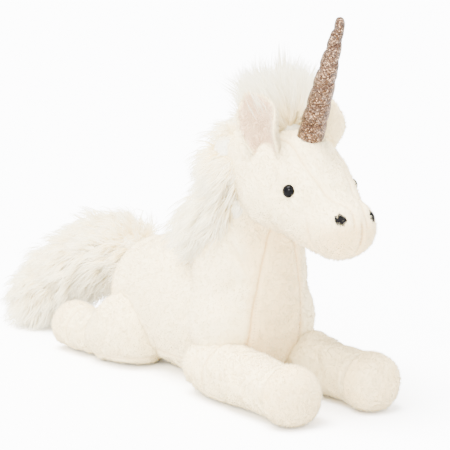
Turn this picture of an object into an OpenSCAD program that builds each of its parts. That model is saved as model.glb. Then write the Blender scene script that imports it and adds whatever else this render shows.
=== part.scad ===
// Plush unicorn lying down: sewn skins over fibre stuffing, long-pile mane and
// tail, a glitter horn, moulded eyes, and soft joints where the seams flex.
// The animal faces -Y, its right side is -X, and it rests on the plane Z = 0.

/* [Cloth] */
// Thickness of the short-pile skin
skin_t = 2.4; // [1.6:0.2:3.6]
// Room between a skin and the stuffing in it
fill_gap = 0.3; // [0.2:0.1:0.8]
// Room between pieces that move against each other
move_gap = 0.8; // [0.5:0.1:1.6]

/* [Torso and neck] */
// Width of the barrel
barrel_w = 100; // [84:1:116]
// Height of the back above the floor
back_h = 112; // [98:1:126]
// Distance from the middle of the belly back to the rump seam
rump_reach = 72; // [60:1:86]
// Distance from the middle of the belly forward to the chest
chest_reach = 98; // [88:1:108]
// Width of the neck just under the head
neck_w = 68; // [60:1:74]
// Height of the middle of the neck seam above the floor
neck_h = 150; // [140:1:162]
// Width of the chest panel at the throat
gusset_top_w = 34; // [24:1:44]
// Width of the chest panel between the front legs
gusset_low_w = 56; // [46:1:66]
// Height below which the belly panel starts
belly_panel_h = 17; // [12:1:22]
// Diameter of the pouch of beads that weights the belly
bead_pouch_d = 36; // [28:1:40]

/* [Head] */
// Width across the cheeks
cheek_w = 76; // [70:1:84]
// Width of the muzzle
muzzle_w = 50; // [42:1:58]
// Distance from the back of the head to the tip of the nose
head_l = 128; // [112:1:140]
// Angle by which the face slopes down
face_drop = 22; // [14:1:30]
// Width of the strip between the two top seams of the head
crown_strip_w = 34; // [26:1:42]
// Diameter of the eye domes
eye_d = 10; // [8:0.5:12]
// Diameter of the washers that lock the eyes
eye_washer_d = 15; // [13:0.5:18]
// Diameter of the eye stems
eye_stem_d = 3; // [2:0.25:4]
// Diameter of the sewn nostrils
nostril_d = 7; // [5:0.5:9]

/* [Ears] */
// Height of an ear above its seam
ear_h = 44; // [36:1:52]
// Width of an ear laid flat
ear_w = 32; // [26:1:38]
// Radius of the hollow that an ear is curled to
ear_curl_r = 22; // [18:1:30]
// Thickness of the short-pile lining in an ear
lining_t = 1.6; // [1:0.2:2.4]

/* [Horn] */
// Length of the horn outside the head
horn_l = 94; // [70:1:110]
// Diameter of the horn at its seam
horn_d = 18; // [14:0.5:22]
// Forward lean of the horn from upright
horn_lean = 22; // [10:0.5:32]
// Thickness of the glitter cloth
horn_skin_t = 1; // [0.6:0.1:1.6]
// Number of turns of the thread wound round the horn
horn_turns = 6; // [4:1:8]
// Diameter of that thread
horn_thread_d = 0.8; // [0.6:0.1:1.2]

/* [Front legs] */
// Sideways place of a front leg
front_leg_x = 36; // [33:1:42]
// Length of a front leg from the elbow to the end of the hoof
front_leg_l = 137; // [122:1:152]
// Diameter of a front leg at the elbow
elbow_d = 47; // [42:1:52]
// Diameter of a front leg above the hoof
front_ankle_d = 37; // [33:1:41]
// Diameter of a front hoof
front_hoof_d = 41; // [37:1:47]
// Length of a front hoof behind its end panel
front_hoof_l = 22; // [16:1:30]

/* [Hind legs] */
// Sideways place of a hind hoof
hind_leg_x = 54; // [48:1:60]
// Distance from the knee to the end of the hoof
hind_leg_l = 112; // [102:1:126]
// Diameter of a thigh
thigh_d = 53; // [45:1:60]
// Diameter of a hind leg above the hoof
hind_ankle_d = 36; // [30:1:42]
// Diameter of a hind hoof
hind_hoof_d = 42; // [36:1:48]

/* [Mane and tail] */
// Height of the mane's fur over the neck
mane_h = 32; // [24:1:40]
// Thickness of the mane across the neck
mane_w = 34; // [26:1:44]
// Height of the tuft between the ears
forelock_h = 46; // [34:1:56]
// Length of the tail along its middle
tail_l = 150; // [120:1:170]
// Thickness of the tail's fur
tail_d = 54; // [44:1:62]
// Diameter of the rolled cloth core in the tail
tail_core_d = 12; // [8:1:16]

/* [Flex] */
// Turn of the head to either side
head_turn_deg = 20; // [8:1:25]
// Nod of the head up and down
head_nod_deg = 10; // [5:1:14]
// Outward swing of a front leg
front_spread_deg = 20; // [8:1:25]
// Inward swing of a front leg
front_close_deg = 5; // [2:1:6]
// Lift of a front leg at its elbow seam
elbow_lift_deg = 24; // [10:1:30]
// Outward swing of a hind leg
hind_spread_deg = 15; // [6:1:18]
// Fold of an ear forward and back
ear_fold_deg = 18; // [8:1:24]
// Swing of the tail away from the hoof it lies by
tail_swing_deg = 28; // [10:1:34]
// Lift of the tail
tail_lift_deg = 24; // [10:1:30]

/* [Hidden] */

// ---------------------------------------------------------------- shapes
// A station is [x, y, z, half width, half depth, pitch, yaw]: one ring of a
// soft body, looking forward along -Y at pitch 0 and yaw 0.
SIDES = 24;
COARSE = 14;
STEPS = 3;
DOME = [72, 50, 26];

function forward(s) = [cos(s[5]) * sin(s[6]), -cos(s[5]) * cos(s[6]), sin(s[5])];
function spot(s) = [s[0], s[1], s[2]];
function nth(list, i) = list[max(0, min(len(list) - 1, i))];
function blend(a, b, c, d, t) =
    0.5 * (2 * b + (c - a) * t + (2 * a - 5 * b + 4 * c - d) * t * t + (3 * b - a - 3 * c + d) * t * t * t);
function smooth(list, steps) = [
    for (i = [0 : len(list) - 2], k = [0 : steps - 1])
        blend(nth(list, i - 1), list[i], list[i + 1], nth(list, i + 2), k / steps),
    list[len(list) - 1]];
function grown(list, by) = [for (s = list) s + [0, 0, 0, by, by, 0, 0]];
function domed(s, reach, angle) =
    let (way = forward(s) * reach * sin(angle), shrink = cos(angle) - 1)
    s + [way[0], way[1], way[2], s[3] * shrink, s[4] * shrink, 0, 0];
function ring(s, sides) = [
    for (i = [0 : sides - 1])
        let (a = 360 * (i + 0.5) / sides, u = s[3] * cos(a), v = s[4] * sin(a))
        [s[0] + u * cos(s[6]) - v * sin(s[5]) * sin(s[6]),
         s[1] + u * sin(s[6]) + v * sin(s[5]) * cos(s[6]),
         s[2] + v * cos(s[5])]];

// A closed soft body through stations, with a domed cap of its own reach at
// each end. A negative growth makes the same body smaller all round.
module soft_body(list, back_dome, front_dome, growth = 0, sides = SIDES, steps = STEPS) {
    body = grown(smooth(list, steps), growth);
    first = body[0];
    last = body[len(body) - 1];
    rings = concat(
        [for (a = DOME) domed(first, -(back_dome + growth), a)],
        body,
        [for (i = [len(DOME) - 1 : -1 : 0]) domed(last, front_dome + growth, DOME[i])]);
    count = len(rings);
    points = concat(
        [spot(first) - forward(first) * (back_dome + growth)],
        [for (r = rings) each ring(r, sides)],
        [spot(last) + forward(last) * (front_dome + growth)]);
    end = len(points) - 1;
    faces = concat(
        [for (i = [0 : sides - 1]) [0, 1 + i, 1 + (i + 1) % sides]],
        [for (r = [0 : count - 2], i = [0 : sides - 1])
            let (a = 1 + r * sides, j = (i + 1) % sides)
            each [[a + i, a + sides + i, a + j], [a + j, a + sides + i, a + sides + j]]],
        [for (i = [0 : sides - 1])
            let (a = 1 + (count - 1) * sides)
            [a + i, end, a + (i + 1) % sides]]);
    polyhedron(points = points, faces = faces, convexity = 6);
}

// Evaluates its children as one closed mesh.
module as_mesh() {
    resize([0, 0, 0]) union() children();
}

module on_side(side) {
    if (side == "left_") mirror([1, 0, 0]) children();
    else children();
}

// ---------------------------------------------------------------- torso
half_w = barrel_w / 2;
torso_line = [
    [0, rump_reach, back_h / 2 - 6, half_w - 5, back_h / 2 - 5, 0, 0],
    [0, rump_reach * 0.4, back_h / 2 - 1, half_w, back_h / 2 + 2, 0, 0],
    [0, -8, back_h / 2, half_w - 1, back_h / 2 + 2, 6, 0],
    [0, 50 - chest_reach, back_h / 2 + 6, half_w - 4, back_h / 2, 36, 0],
    [0, 43 - chest_reach, back_h - 20, half_w - 6, 47, 64, 0],
    [0, 38 - chest_reach, neck_h - 30, neck_w / 2 + 3, 39, 74, 0],
    [0, 34 - chest_reach, neck_h - 10, neck_w / 2, neck_w / 2 + 1, 72, 0],
    [0, 28 - chest_reach, neck_h + 6, neck_w / 2 - 1, neck_w / 2 - 1, 70, 0]];
rump_dome = 42;
neck_pitch = 70;
neck_pivot = [0, 28 - chest_reach, neck_h + 8];
neck_axis = [0, -cos(neck_pitch), sin(neck_pitch)];
neck_r = neck_w / 2;

module torso_form(growth = 0, sides = 20, steps = 2) {
    soft_body(torso_line, rump_dome, 12, growth, sides, steps);
}

// Points its children's +Z along the neck, with the origin at the neck joint.
module at_neck() {
    translate(neck_pivot) rotate([90 - neck_pitch, 0, 0]) children();
}

// What the torso gives up to its neighbours: the neck joint, the legs, the
// dock of the tail.
module torso_hollows(extra = 0) {
    at_neck() {
        rotate([0, 0, 3]) sphere(r = neck_r + move_gap + extra, $fn = 30);
        translate([0, 0, -neck_r * sin(NECK_BAND) - 0.4]) cylinder(r = 60, h = 90, $fn = 6);
    }
    for (side = SIDE_NAMES) on_side(side) {
        front_leg_room(extra);
        hind_leg_room(extra);
    }
    translate(dock) rotate([5, 0, 4]) sphere(r = dock_r + move_gap + extra, $fn = 24);
}

SIDE_NAMES = ["right_", "left_"];
NECK_BAND = 13;
gusset_bottom = belly_panel_h;

// The wedge of the chest panel, seen from the front.
module chest_wedge() {
    rotate([90, 0, 0]) linear_extrude(height = 300)
        translate([0, 0]) polygon([
            [-gusset_low_w / 2, -20], [gusset_low_w / 2, -20], [gusset_low_w / 2, gusset_bottom + 10],
            [gusset_top_w / 2, neck_h - 30], [gusset_top_w / 2, neck_h + 60],
            [-gusset_top_w / 2, neck_h + 60], [-gusset_top_w / 2, neck_h - 30],
            [-gusset_low_w / 2, gusset_bottom + 10]]);
}

module chest_zone() {
    translate([0, 32 - chest_reach, 0]) chest_wedge();
}

module torso_skin() {
    difference() {
        torso_form();
        torso_form(-skin_t);
        torso_hollows();
        translate([-500, -500, -1000]) cube([1000, 1000, 1000]);
    }
}

module torso_side_panel(side) {
    color("#f7f1e6") as_mesh() difference() {
        torso_skin();
        chest_zone();
        translate([side == "right_" ? 0 : -500, -500, -500]) cube([500, 1000, 1000]);
        translate([-500, -500, belly_panel_h - 1000]) cube([1000, 1000, 1000]);
    }
}

module chest_panel() {
    color("#f2eadc") as_mesh() difference() {
        intersection() {
            torso_skin();
            chest_zone();
        }
        translate([-500, -500, belly_panel_h - 1000]) cube([1000, 1000, 1000]);
    }
}

// The belly panel is sewn in under the torso and lies flat on the floor.
module belly_panel() {
    color("#efe7d8") as_mesh() difference() {
        intersection() {
            torso_form(0, 22, 3);
            translate([-500, -500, 0]) cube([1000, 1000, belly_panel_h]);
        }
        intersection() {
            torso_form(-skin_t, 22, 3);
            translate([-500, -500, skin_t]) cube([1000, 1000, 1000]);
        }
        torso_hollows();
    }
}

module torso_stuffing() {
    color("#ffffff") as_mesh() difference() {
        torso_form(-skin_t - fill_gap - 0.7, 20, 2);
        torso_hollows(skin_t + fill_gap);
        translate([-500, -500, skin_t + fill_gap - 1000]) cube([1000, 1000, 1000]);
        translate([0, 0, skin_t]) cylinder(d = bead_pouch_d + 2 * fill_gap, h = bead_pouch_h + 1,
            $fn = 48);
    }
}

bead_pouch_h = 14;
module belly_bead_pouch() {
    color("#d9d2c4") translate([0, 0, skin_t + fill_gap + 0.7])
        rotate_extrude($fn = 48) intersection() {
            hull() {
                translate([bead_pouch_d / 2 - 5, 5]) circle(r = 5, $fn = 32);
                translate([bead_pouch_d / 2 - 5, bead_pouch_h - 5 - fill_gap]) circle(r = 5, $fn = 32);
                square([1, bead_pouch_h - fill_gap]);
            }
            square([200, 200]);
        }
}

// The wad of fibre in the neck seam, on which the head turns and nods.
module neck_fill() {
    color("#ffffff") translate(neck_pivot) sphere(r = neck_r, $fn = 64);
}

// ---------------------------------------------------------------- head
head_back = [0, neck_pivot[1] + 4, neck_pivot[2] + 24];
function along_head(d, up = 0) = head_back + [0, -cos(face_drop) * d + sin(face_drop) * 0 * up, -sin(face_drop) * d + up];
function head_ring(d, up, w, h, pitch) =
    let (p = along_head(d, up)) [p[0], p[1], p[2], w, h, pitch, 0];
head_line = [
    head_ring(head_l * 0.00, -3, cheek_w / 2 - 3, 33, -4),
    head_ring(head_l * 0.22, 2, cheek_w / 2 + 2, 37, -12),
    head_ring(head_l * 0.45, 3, cheek_w / 2, 36, -22),
    head_ring(head_l * 0.66, 1, cheek_w / 2 - 6, 30, -24),
    head_ring(head_l * 0.82, -2, muzzle_w / 2, 23.5, -20)];
head_back_dome = 24;
nose_dome = head_l * 0.18 + 3;

module head_form(growth = 0, sides = SIDES, steps = STEPS) {
    soft_body(head_line, head_back_dome, nose_dome, growth, sides, steps);
}

// Room in the head for the neck joint, flared for the nod.
module head_hollow(extra = 0) {
    at_neck() {
        sphere(r = neck_r + move_gap + extra, $fn = 48);
        translate([0, 0, neck_r * sin(NECK_BAND) - 60])
            cylinder(r1 = neck_r + 14 + extra, r2 = neck_r + move_gap + extra, h = 60, $fn = 48);
    }
}

module crown_zone() {
    translate([0, 60, 0]) rotate([90, 0, 0]) linear_extrude(height = 400)
        polygon([[-crown_strip_w / 2, along_head(head_l * 0.5)[2]], [crown_strip_w / 2, along_head(head_l * 0.5)[2]],
                 [crown_strip_w / 2, 400], [-crown_strip_w / 2, 400]]);
}

eye_at = along_head(head_l * 0.65, 15) - [(cheek_w / 2 - 6) * 0.87, 0, 0];
nostril_at = along_head(head_l * 0.82, -2) + [-12, -19.8, 8.8];

// Points its children's +Z out of the head where the right eye is set.
module at_eye() {
    translate(eye_at) rotate([0, 0, 22]) rotate([0, -84, 0]) children();
}

module head_openings() {
    for (side = SIDE_NAMES) on_side(side) {
        at_eye() {
            translate([0, 0, -20]) cylinder(d = eye_stem_d + 0.6, h = 40, $fn = 24);
            translate([0, 0, skin_rise - 0.25]) cylinder(d = eye_d + 0.9, h = 20, $fn = 24);
        }
        at_nostril() scale([1, 0.86, 0.32]) sphere(d = nostril_d + 0.9, $fn = 20);
    }
}

module head_skin() {
    difference() {
        head_form();
        head_form(-skin_t);
        head_hollow();
        head_openings();
        horn_room();
    }
}

module head_side_panel(side) {
    color("#f8f2e8") as_mesh() difference() {
        head_skin();
        crown_zone();
        translate([side == "right_" ? 0 : -500, -500, -500]) cube([500, 1000, 1000]);
    }
}

module head_crown_strip() {
    color("#f6efe3") as_mesh() intersection() {
        head_skin();
        crown_zone();
    }
}

module head_stuffing() {
    color("#ffffff") as_mesh() difference() {
        head_form(-skin_t - fill_gap, COARSE, 2);
        head_hollow(skin_t + fill_gap);
        for (side = SIDE_NAMES) on_side(side) at_eye()
            translate([0, 0, -12]) cylinder(d = eye_washer_d + 1, h = 40, $fn = 24);
        horn_room();
    }
}

// ---------------------------------------------------------------- eyes and nostrils
// A moulded dome with a stem, held from inside the head by a washer.
module eye(side) {
    color("#0c0c0d") on_side(side) at_eye() {
        translate([0, 0, skin_rise]) intersection() {
            translate([0, 0, -eye_d * 0.12]) sphere(d = eye_d, $fn = 40);
            cylinder(d = 2 * eye_d, h = eye_d, $fn = 4);
        }
        translate([0, 0, -9]) cylinder(d = eye_stem_d, h = 9 + skin_rise + 1, $fn = 24);
    }
}

skin_rise = 0.6;
module eye_washer(side) {
    color("#e6e2d8") on_side(side) at_eye() translate([0, 0, -skin_t - 3.6]) difference() {
        cylinder(d = eye_washer_d, h = 1.2, $fn = 40);
        translate([0, 0, -1]) cylinder(d = eye_stem_d, h = 4, $fn = 24);
    }
}

module at_nostril() {
    translate(nostril_at) rotate([0, 0, -32]) rotate([64, 0, 0]) children();
}

// A pad of satin stitches.
module nostril(side) {
    color("#141214") on_side(side) at_nostril() scale([1, 0.85, 0.28]) sphere(d = nostril_d, $fn = 32);
}

// ---------------------------------------------------------------- horn
horn_base = along_head(head_l * 0.55, 43);
horn_root = 4;
horn_top_d = 6;

// The horn's own frame: +Z from its seam to its tip.
module at_horn() {
    translate(horn_base) rotate([horn_lean, 0, 0]) children();
}

function horn_radius(z) = horn_d / 2 + (horn_top_d - horn_d) / 2 * z / (horn_l - horn_top_d / 2);
function horn_wave(z) = 0.35 * cos(360 * horn_turns * z / horn_l);
horn_outline = [for (z = [-horn_root : 3 : horn_l - horn_top_d / 2]) [horn_radius(z) + horn_wave(z), z]];
horn_tip = [for (a = [8 : 16 : 88]) [horn_top_d / 2 * cos(a), horn_l - horn_top_d / 2 + horn_top_d / 2 * sin(a)]];

module horn_solid(less = 0) {
    rotate_extrude($fn = 40) intersection() {
        polygon(concat([[0, -horn_root]],
            [for (p = concat(horn_outline, horn_tip)) [max(0.6, p[0] - less), p[1] - (p[1] > horn_l - 4 ? less : 0)]],
            [[0, horn_l - less]]));
        square([100, 400], center = false);
    }
    rotate_extrude($fn = 40) polygon([[0, -horn_root], [horn_radius(0) + horn_wave(0) - less, -horn_root],
        [horn_radius(0) + horn_wave(0) - less, 0], [0, 0]]);
}

module horn_cover() {
    color("#b08064") at_horn() difference() {
        horn_solid();
        translate([0, 0, -0.01]) horn_solid(horn_skin_t);
    }
}

module horn_stuffing() {
    color("#ffffff") at_horn() horn_solid(horn_skin_t + fill_gap);
}

// A thread wound round the horn pulls the spiral groove into it.
module horn_thread() {
    turns = horn_turns - 1;
    steps = 16 * turns;
    function on_horn(t) = let (z = 5 + t * (horn_l - 20), r = horn_radius(z) + 0.35 + horn_thread_d / 2 + 0.1)
        [r * cos(360 * turns * t), r * sin(360 * turns * t), z];
    r = horn_thread_d / 2;
    points = [for (i = [0 : steps]) let (p = on_horn(i / steps), a = 360 * turns * i / steps)
        each [for (k = [0 : 4]) p + [r * cos(72 * k) * cos(a), r * cos(72 * k) * sin(a), r * sin(72 * k)]]];
    faces = concat([[0, 1, 2, 3, 4]],
        [for (i = [0 : steps - 1], k = [0 : 4])
            let (a = 5 * i + k, b = 5 * i + (k + 1) % 5) each [[a, a + 5, b], [b, a + 5, b + 5]]],
        [[for (k = [4 : -1 : 0]) 5 * steps + k]]);
    color("#a9765c") at_horn() polyhedron(points = points, faces = faces, convexity = 8);
}

module horn_room() {
    at_horn() translate([0, 0, -horn_root - fill_gap])
        cylinder(r = horn_d / 2 + 0.8, h = 40, $fn = 40);
}

// ---------------------------------------------------------------- ears
ear_at = along_head(head_l * 0.36, 31) + [-cheek_w * 0.33, 0, 0];
ear_rise = 3.6;
ear_arch = 4.4;

// The ear's own frame: +Z up the ear, the hollow faces -Y.
module at_ear() {
    translate(ear_at) rotate([0, 0, -50]) rotate([0, -33, 0]) children();
}

// A leaf outline standing on its cut base.
module ear_leaf(less) {
    h = ear_h - less;
    half = ear_w / 2 - less;
    reach = h * 0.66;
    r = (half * half + reach * reach) / (2 * half);
    difference() {
        translate([0, h - reach]) intersection() {
            translate([r - half, 0]) circle(r = r, $fn = 72);
            translate([half - r, 0]) circle(r = r, $fn = 72);
        }
        translate([-100, -200 + ear_rise]) square([200, 200]);
        translate([0, ear_rise + ear_arch - 22]) circle(r = 22, $fn = 72);
    }
}

module ear_sheet(less, r_out, r_in) {
    intersection() {
        rotate([90, 0, 0]) translate([0, 0, -20]) linear_extrude(height = 40) ear_leaf(less);
        translate([0, -ear_curl_r, 0]) difference() {
            cylinder(r = r_out, h = 200, $fn = 72);
            translate([0, 0, -1]) cylinder(r = r_in, h = 202, $fn = 72);
        }
        translate([-50, -ear_curl_r, 0]) cube([100, 100, 200]);
    }
}

module ear_back(side) {
    color("#f7f1e6") on_side(side) at_ear() ear_sheet(0, ear_curl_r + skin_t / 2, ear_curl_r - skin_t / 2);
}

module ear_lining(side) {
    color("#ecdccb") on_side(side) at_ear()
        ear_sheet(3, ear_curl_r - skin_t / 2, ear_curl_r - skin_t / 2 - lining_t);
}

// ---------------------------------------------------------------- front legs
front_y = 2 - chest_reach;
front_z = front_hoof_d / 2 - 0.5;
front_knee = [-front_leg_x, front_y, front_z];
front_end = front_leg_l - 60;
knee_r = elbow_d / 2 - 3;
KNEE_BAND = 17;

// The leg's own frame: +Z forward along the leg, the origin at its joint.
module at_front_leg() {
    translate(front_knee) rotate([90, 0, 0]) children();
}

module leg_profile(points, less = 0) {
    rotate_extrude($fn = 48) polygon(concat(
        [[0, points[0][1] + less]],
        [for (p = points) [p[0] - less, p[1] + (p == points[0] ? less : p == points[len(points) - 1] ? -less : 0)]],
        [[0, points[len(points) - 1][1] - less]]));
}

// The fixed root of the front leg, sewn under the shoulder.
module front_root_form(less = 0) {
    r = elbow_d / 2;
    leg_profile([[r * 0.35, -60], [r * 0.72, -57], [r * 0.93, -50], [r, -38], [r, -22], [r - 1.5, -8],
        [r - 2.5, -knee_r * sin(KNEE_BAND)]], less);
}

module front_shank_form(less = 0) {
    r = front_ankle_d / 2;
    leg_profile([[elbow_d / 2 - 3, knee_r * sin(KNEE_BAND)], [elbow_d / 2 - 3.4, 14],
        [r + 0.8, 28], [r, front_end - front_hoof_l - 12], [r + 0.6, front_end - front_hoof_l]], less);
}

module knee_socket(extra = 0) {
    sphere(r = knee_r + move_gap + extra, $fn = 48);
}

module floor_cut(level = 0) {
    translate([-500, -500, level - 1000]) cube([1000, 1000, 1000]);
}

module front_upper_leg(side) {
    color("#f6eee0") on_side(side) difference() {
        at_front_leg() difference() {
            front_root_form();
            front_root_form(skin_t);
            knee_socket();
        }
        floor_cut();
    }
}

module front_upper_leg_stuffing(side) {
    color("#ffffff") on_side(side) difference() {
        at_front_leg() difference() {
            front_root_form(skin_t + fill_gap);
            knee_socket(1);
        }
        floor_cut(fill_gap);
    }
}

module front_elbow_fill(side) {
    color("#fbf6ec") on_side(side) difference() {
        at_front_leg() sphere(r = knee_r, $fn = 48);
        floor_cut();
    }
}

module front_leg_sleeve(side) {
    color("#f8f1e4") on_side(side) difference() {
        at_front_leg() difference() {
            front_shank_form();
            difference() {
                front_shank_form(skin_t);
                translate([0, 0, front_end - front_hoof_l - skin_t]) cylinder(r = 60, h = 20, $fn = 6);
            }
            translate([0, 0, front_end - front_hoof_l - skin_t - 3])
                cylinder(r = front_ankle_d / 2 - skin_t, h = 20, $fn = 48);
            knee_socket();
        }
        floor_cut();
    }
}

module front_leg_stuffing(side) {
    color("#ffffff") on_side(side) difference() {
        at_front_leg() difference() {
            front_shank_form(skin_t + fill_gap);
            knee_socket(1);
        }
        floor_cut(fill_gap);
    }
}

// The hoof is a band of the same plush with an end panel sewn in.
module hoof_form(r, l, less = 0) {
    leg_profile([[r - 2.2, 0], [r - 0.8, 1.2], [r, 5], [r, l - 3]], less);
}

module front_hoof(side) {
    color("#f8f1e4") on_side(side) difference() {
        at_front_leg() translate([0, 0, front_end - front_hoof_l]) difference() {
            hoof_form(front_hoof_d / 2, front_hoof_l);
            translate([0, 0, skin_t]) cylinder(r = front_hoof_d / 2 - skin_t, h = 100, $fn = 48);
        }
        floor_cut();
    }
}

module sole_form(r, h) {
    rotate_extrude($fn = 48) intersection() {
        polygon(concat([[0, 0], [r, 0]],
            [for (a = [10 : 16 : 90]) [r - 6 + 6 * cos(a), h * sin(a)]], [[0, h]]));
        square([200, 200]);
    }
}

module front_hoof_sole(side) {
    color("#f4ecdd") on_side(side) difference() {
        at_front_leg() translate([0, 0, front_end - 3]) sole_form(front_hoof_d / 2, 6);
        floor_cut();
    }
}

module front_hoof_stuffing(side) {
    color("#ffffff") on_side(side) difference() {
        at_front_leg() translate([0, 0, front_end - front_hoof_l + skin_t + fill_gap])
            cylinder(r = front_hoof_d / 2 - skin_t - fill_gap, h = front_hoof_l - 3 - skin_t - 2 * fill_gap, $fn = 48);
        floor_cut(fill_gap);
    }
}

// Room in the torso for the root of the leg and for the sweep of its free end.
module front_leg_room(extra = 0) {
    r = elbow_d / 2;
    at_front_leg() {
        rotate_extrude($fn = 28) polygon([[0, -60.6 - extra], [r * 0.35 + 0.6 + extra, -60.6 - extra],
            [r * 0.72 + 0.6 + extra, -57.6 - extra], [r * 0.93 + 0.6 + extra, -50.5 - extra],
            [r + 0.5 + extra, -38], [r + 0.5 + extra, 60], [0, 60]]);
        sphere(r = knee_r + move_gap + 4 + extra, $fn = 28);
    }
}

// ---------------------------------------------------------------- hind legs
hip = [-(hind_leg_x - 17), rump_reach * 0.76, thigh_d / 2 + 1.4];
hip_r = thigh_d / 2 + 4;
hind_end_y = hip[1] - 25 + hind_leg_l;
shank = hind_end_y - hip[1];
hind_line = [
    [hip[0], hip[1] - 2, hip[2], hip_r - 1, hip_r - 1, 0, 180],
    [-(hind_leg_x - 10), hip[1] + shank * 0.2, hip[2] - 2, hip_r - 3, hip_r - 3, 0, 192],
    [-(hind_leg_x - 3), hip[1] + shank * 0.44, hind_ankle_d / 2 + 3, hind_ankle_d / 2 + 2, hind_ankle_d / 2 + 4, 0, 190],
    [-hind_leg_x, hip[1] + shank * 0.62, hind_ankle_d / 2 + 1, hind_ankle_d / 2, hind_ankle_d / 2, 0, 184],
    [-hind_leg_x, hind_end_y - 20, hind_hoof_d / 2 - 1.6, hind_hoof_d / 2 - 0.6, hind_hoof_d / 2 - 0.6, 0, 180],
    [-hind_leg_x, hind_end_y - 4, hind_hoof_d / 2 - 1.6, hind_hoof_d / 2, hind_hoof_d / 2, 0, 180]];
hind_sole_y = hind_end_y - 6;

module hind_form(growth = 0, sides = SIDES, steps = STEPS) {
    soft_body(hind_line, hip_r - 4, 10, growth, sides, steps);
}

module hind_leg_skin(side) {
    color("#f7efe2") on_side(side) as_mesh() difference() {
        hind_form();
        hind_form(-skin_t);
        floor_cut();
        translate([-500, hind_sole_y, -500]) cube([1000, 1000, 1000]);
    }
}

module hind_leg_stuffing(side) {
    color("#ffffff") on_side(side) as_mesh() difference() {
        hind_form(-skin_t - fill_gap, COARSE, 2);
        floor_cut(fill_gap);
        translate([-500, hind_sole_y - fill_gap, -500]) cube([1000, 1000, 1000]);
    }
}

module hind_hoof_sole(side) {
    color("#f4ecdd") on_side(side) difference() {
        translate([-hind_leg_x, hind_sole_y, hind_hoof_d / 2 - 1.6]) rotate([-90, 0, 0])
            sole_form(hind_hoof_d / 2, 8);
        floor_cut();
    }
}

// Room in the torso for the thigh and for the leg lying beside the rump.
module hind_leg_room(extra = 0) {
    hind_form(move_gap + extra + 1.2, COARSE, 2);
}

// ---------------------------------------------------------------- fur
// The strip of long pile sewn into the seam down the neck.
mane_line = [
    [0, neck_pivot[1] + neck_r + 15, neck_pivot[2] - 4, mane_w / 2 - 3, mane_h * 0.42, -52, 0],
    [0, neck_pivot[1] + neck_r + 26, neck_pivot[2] - 22, mane_w / 2, mane_h * 0.56, -66, 0],
    [0, neck_pivot[1] + neck_r + 33, neck_pivot[2] - 42, mane_w / 2, mane_h * 0.5, -60, 0]];

module mane() {
    color("#fffdf6") as_mesh() difference() {
        soft_body(mane_line, 10, 12, 0, 16, 3);
        torso_form(0.2);
        at_neck() sphere(r = neck_r + 16, $fn = 40);
    }
}

// A blob of pile between two points that lie in the middle plane.
module pile(a, ra, b, rb, squeeze) {
    scale([squeeze, 1, 1]) hull() {
        translate(a) sphere(r = ra, $fn = 20);
        translate(b) sphere(r = rb, $fn = 20);
    }
}

module fur_hollows() {
    head_form(0.2);
    at_horn() translate([0, 0, -20]) cylinder(r = horn_d / 2 + 1.4, h = 200, $fn = 24);
    for (side = SIDE_NAMES) on_side(side) at_ear() translate([-30, -12, -20]) cube([60, 24, 90]);
}

poll = head_back + [0, head_back_dome, 0];
module forelock() {
    color("#fffdf6") as_mesh() difference() {
        pile(poll + [0, -44, 26 + forelock_h * 0.2], forelock_h * 0.5,
             poll + [0, -68, 24 + forelock_h * 0.24], forelock_h * 0.4, mane_w / 32);
        fur_hollows();
        translate([-100, poll[1] - 30, 0]) cube([200, 200, 400]);
    }
}

// The part of the mane that is sewn to the head and turns with it.
module head_mane() {
    color("#fffdf6") as_mesh() difference() {
        pile(poll + [0, -26, 26], mane_h * 0.66, poll + [0, -6, 2], mane_h * 0.66, mane_w / 42);
        fur_hollows();
        translate([-100, poll[1] - 29, 0]) mirror([0, 1, 0]) cube([200, 200, 400]);
        at_neck() sphere(r = neck_r + 6, $fn = 40);
    }
}

// ---------------------------------------------------------------- tail
dock = [0, rump_reach + rump_dome - 5, back_h * 0.74];
dock_r = 12;
tail_r = tail_d / 2;
tail_reach = tail_l / 150;
tail_line = [
    [0, dock[1] + 16, dock[2] - 1, tail_r * 0.62, tail_r * 0.6, 4, 180],
    [-1, dock[1] + 36 * tail_reach, dock[2] - 1, tail_r * 0.9, tail_r * 0.85, 0, 180],
    [-6, dock[1] + 66 * tail_reach, dock[2] - 8, tail_r * 1.05, tail_r * 0.95, -18, 188],
    [-20, dock[1] + 92 * tail_reach, dock[2] - 25, tail_r * 1.02, tail_r * 0.95, -34, 204],
    [-38, dock[1] + 108 * tail_reach, dock[2] - 46, tail_r * 0.9, tail_r * 0.85, -52, 216],
    [-50, dock[1] + 114 * tail_reach, 24, tail_r * 0.72, tail_r * 0.66, -66, 226]];

module tail_form(growth = 0, sides = 20, steps = 3) {
    soft_body(tail_line, 8, 14, growth, sides, steps);
}

module tail_dock() {
    color("#fbf7ee") translate(dock) sphere(r = dock_r, $fn = 40);
}

module at_tail_core(extra = 0) {
    translate(dock) rotate([-86, 0, 0]) children();
}

module tail_core() {
    color("#efe7d8") difference() {
        at_tail_core() cylinder(d = tail_core_d, h = 60, $fn = 32);
        translate(dock) sphere(r = dock_r + move_gap, $fn = 40);
    }
}

module tail_fur() {
    color("#fffdf6") as_mesh() difference() {
        tail_form();
        at_tail_core() cylinder(d = tail_core_d + 2 * fill_gap, h = 60 + fill_gap, $fn = 32);
        translate(dock) sphere(r = dock_r + move_gap, $fn = 40);
        floor_cut(1);
    }
}

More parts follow.
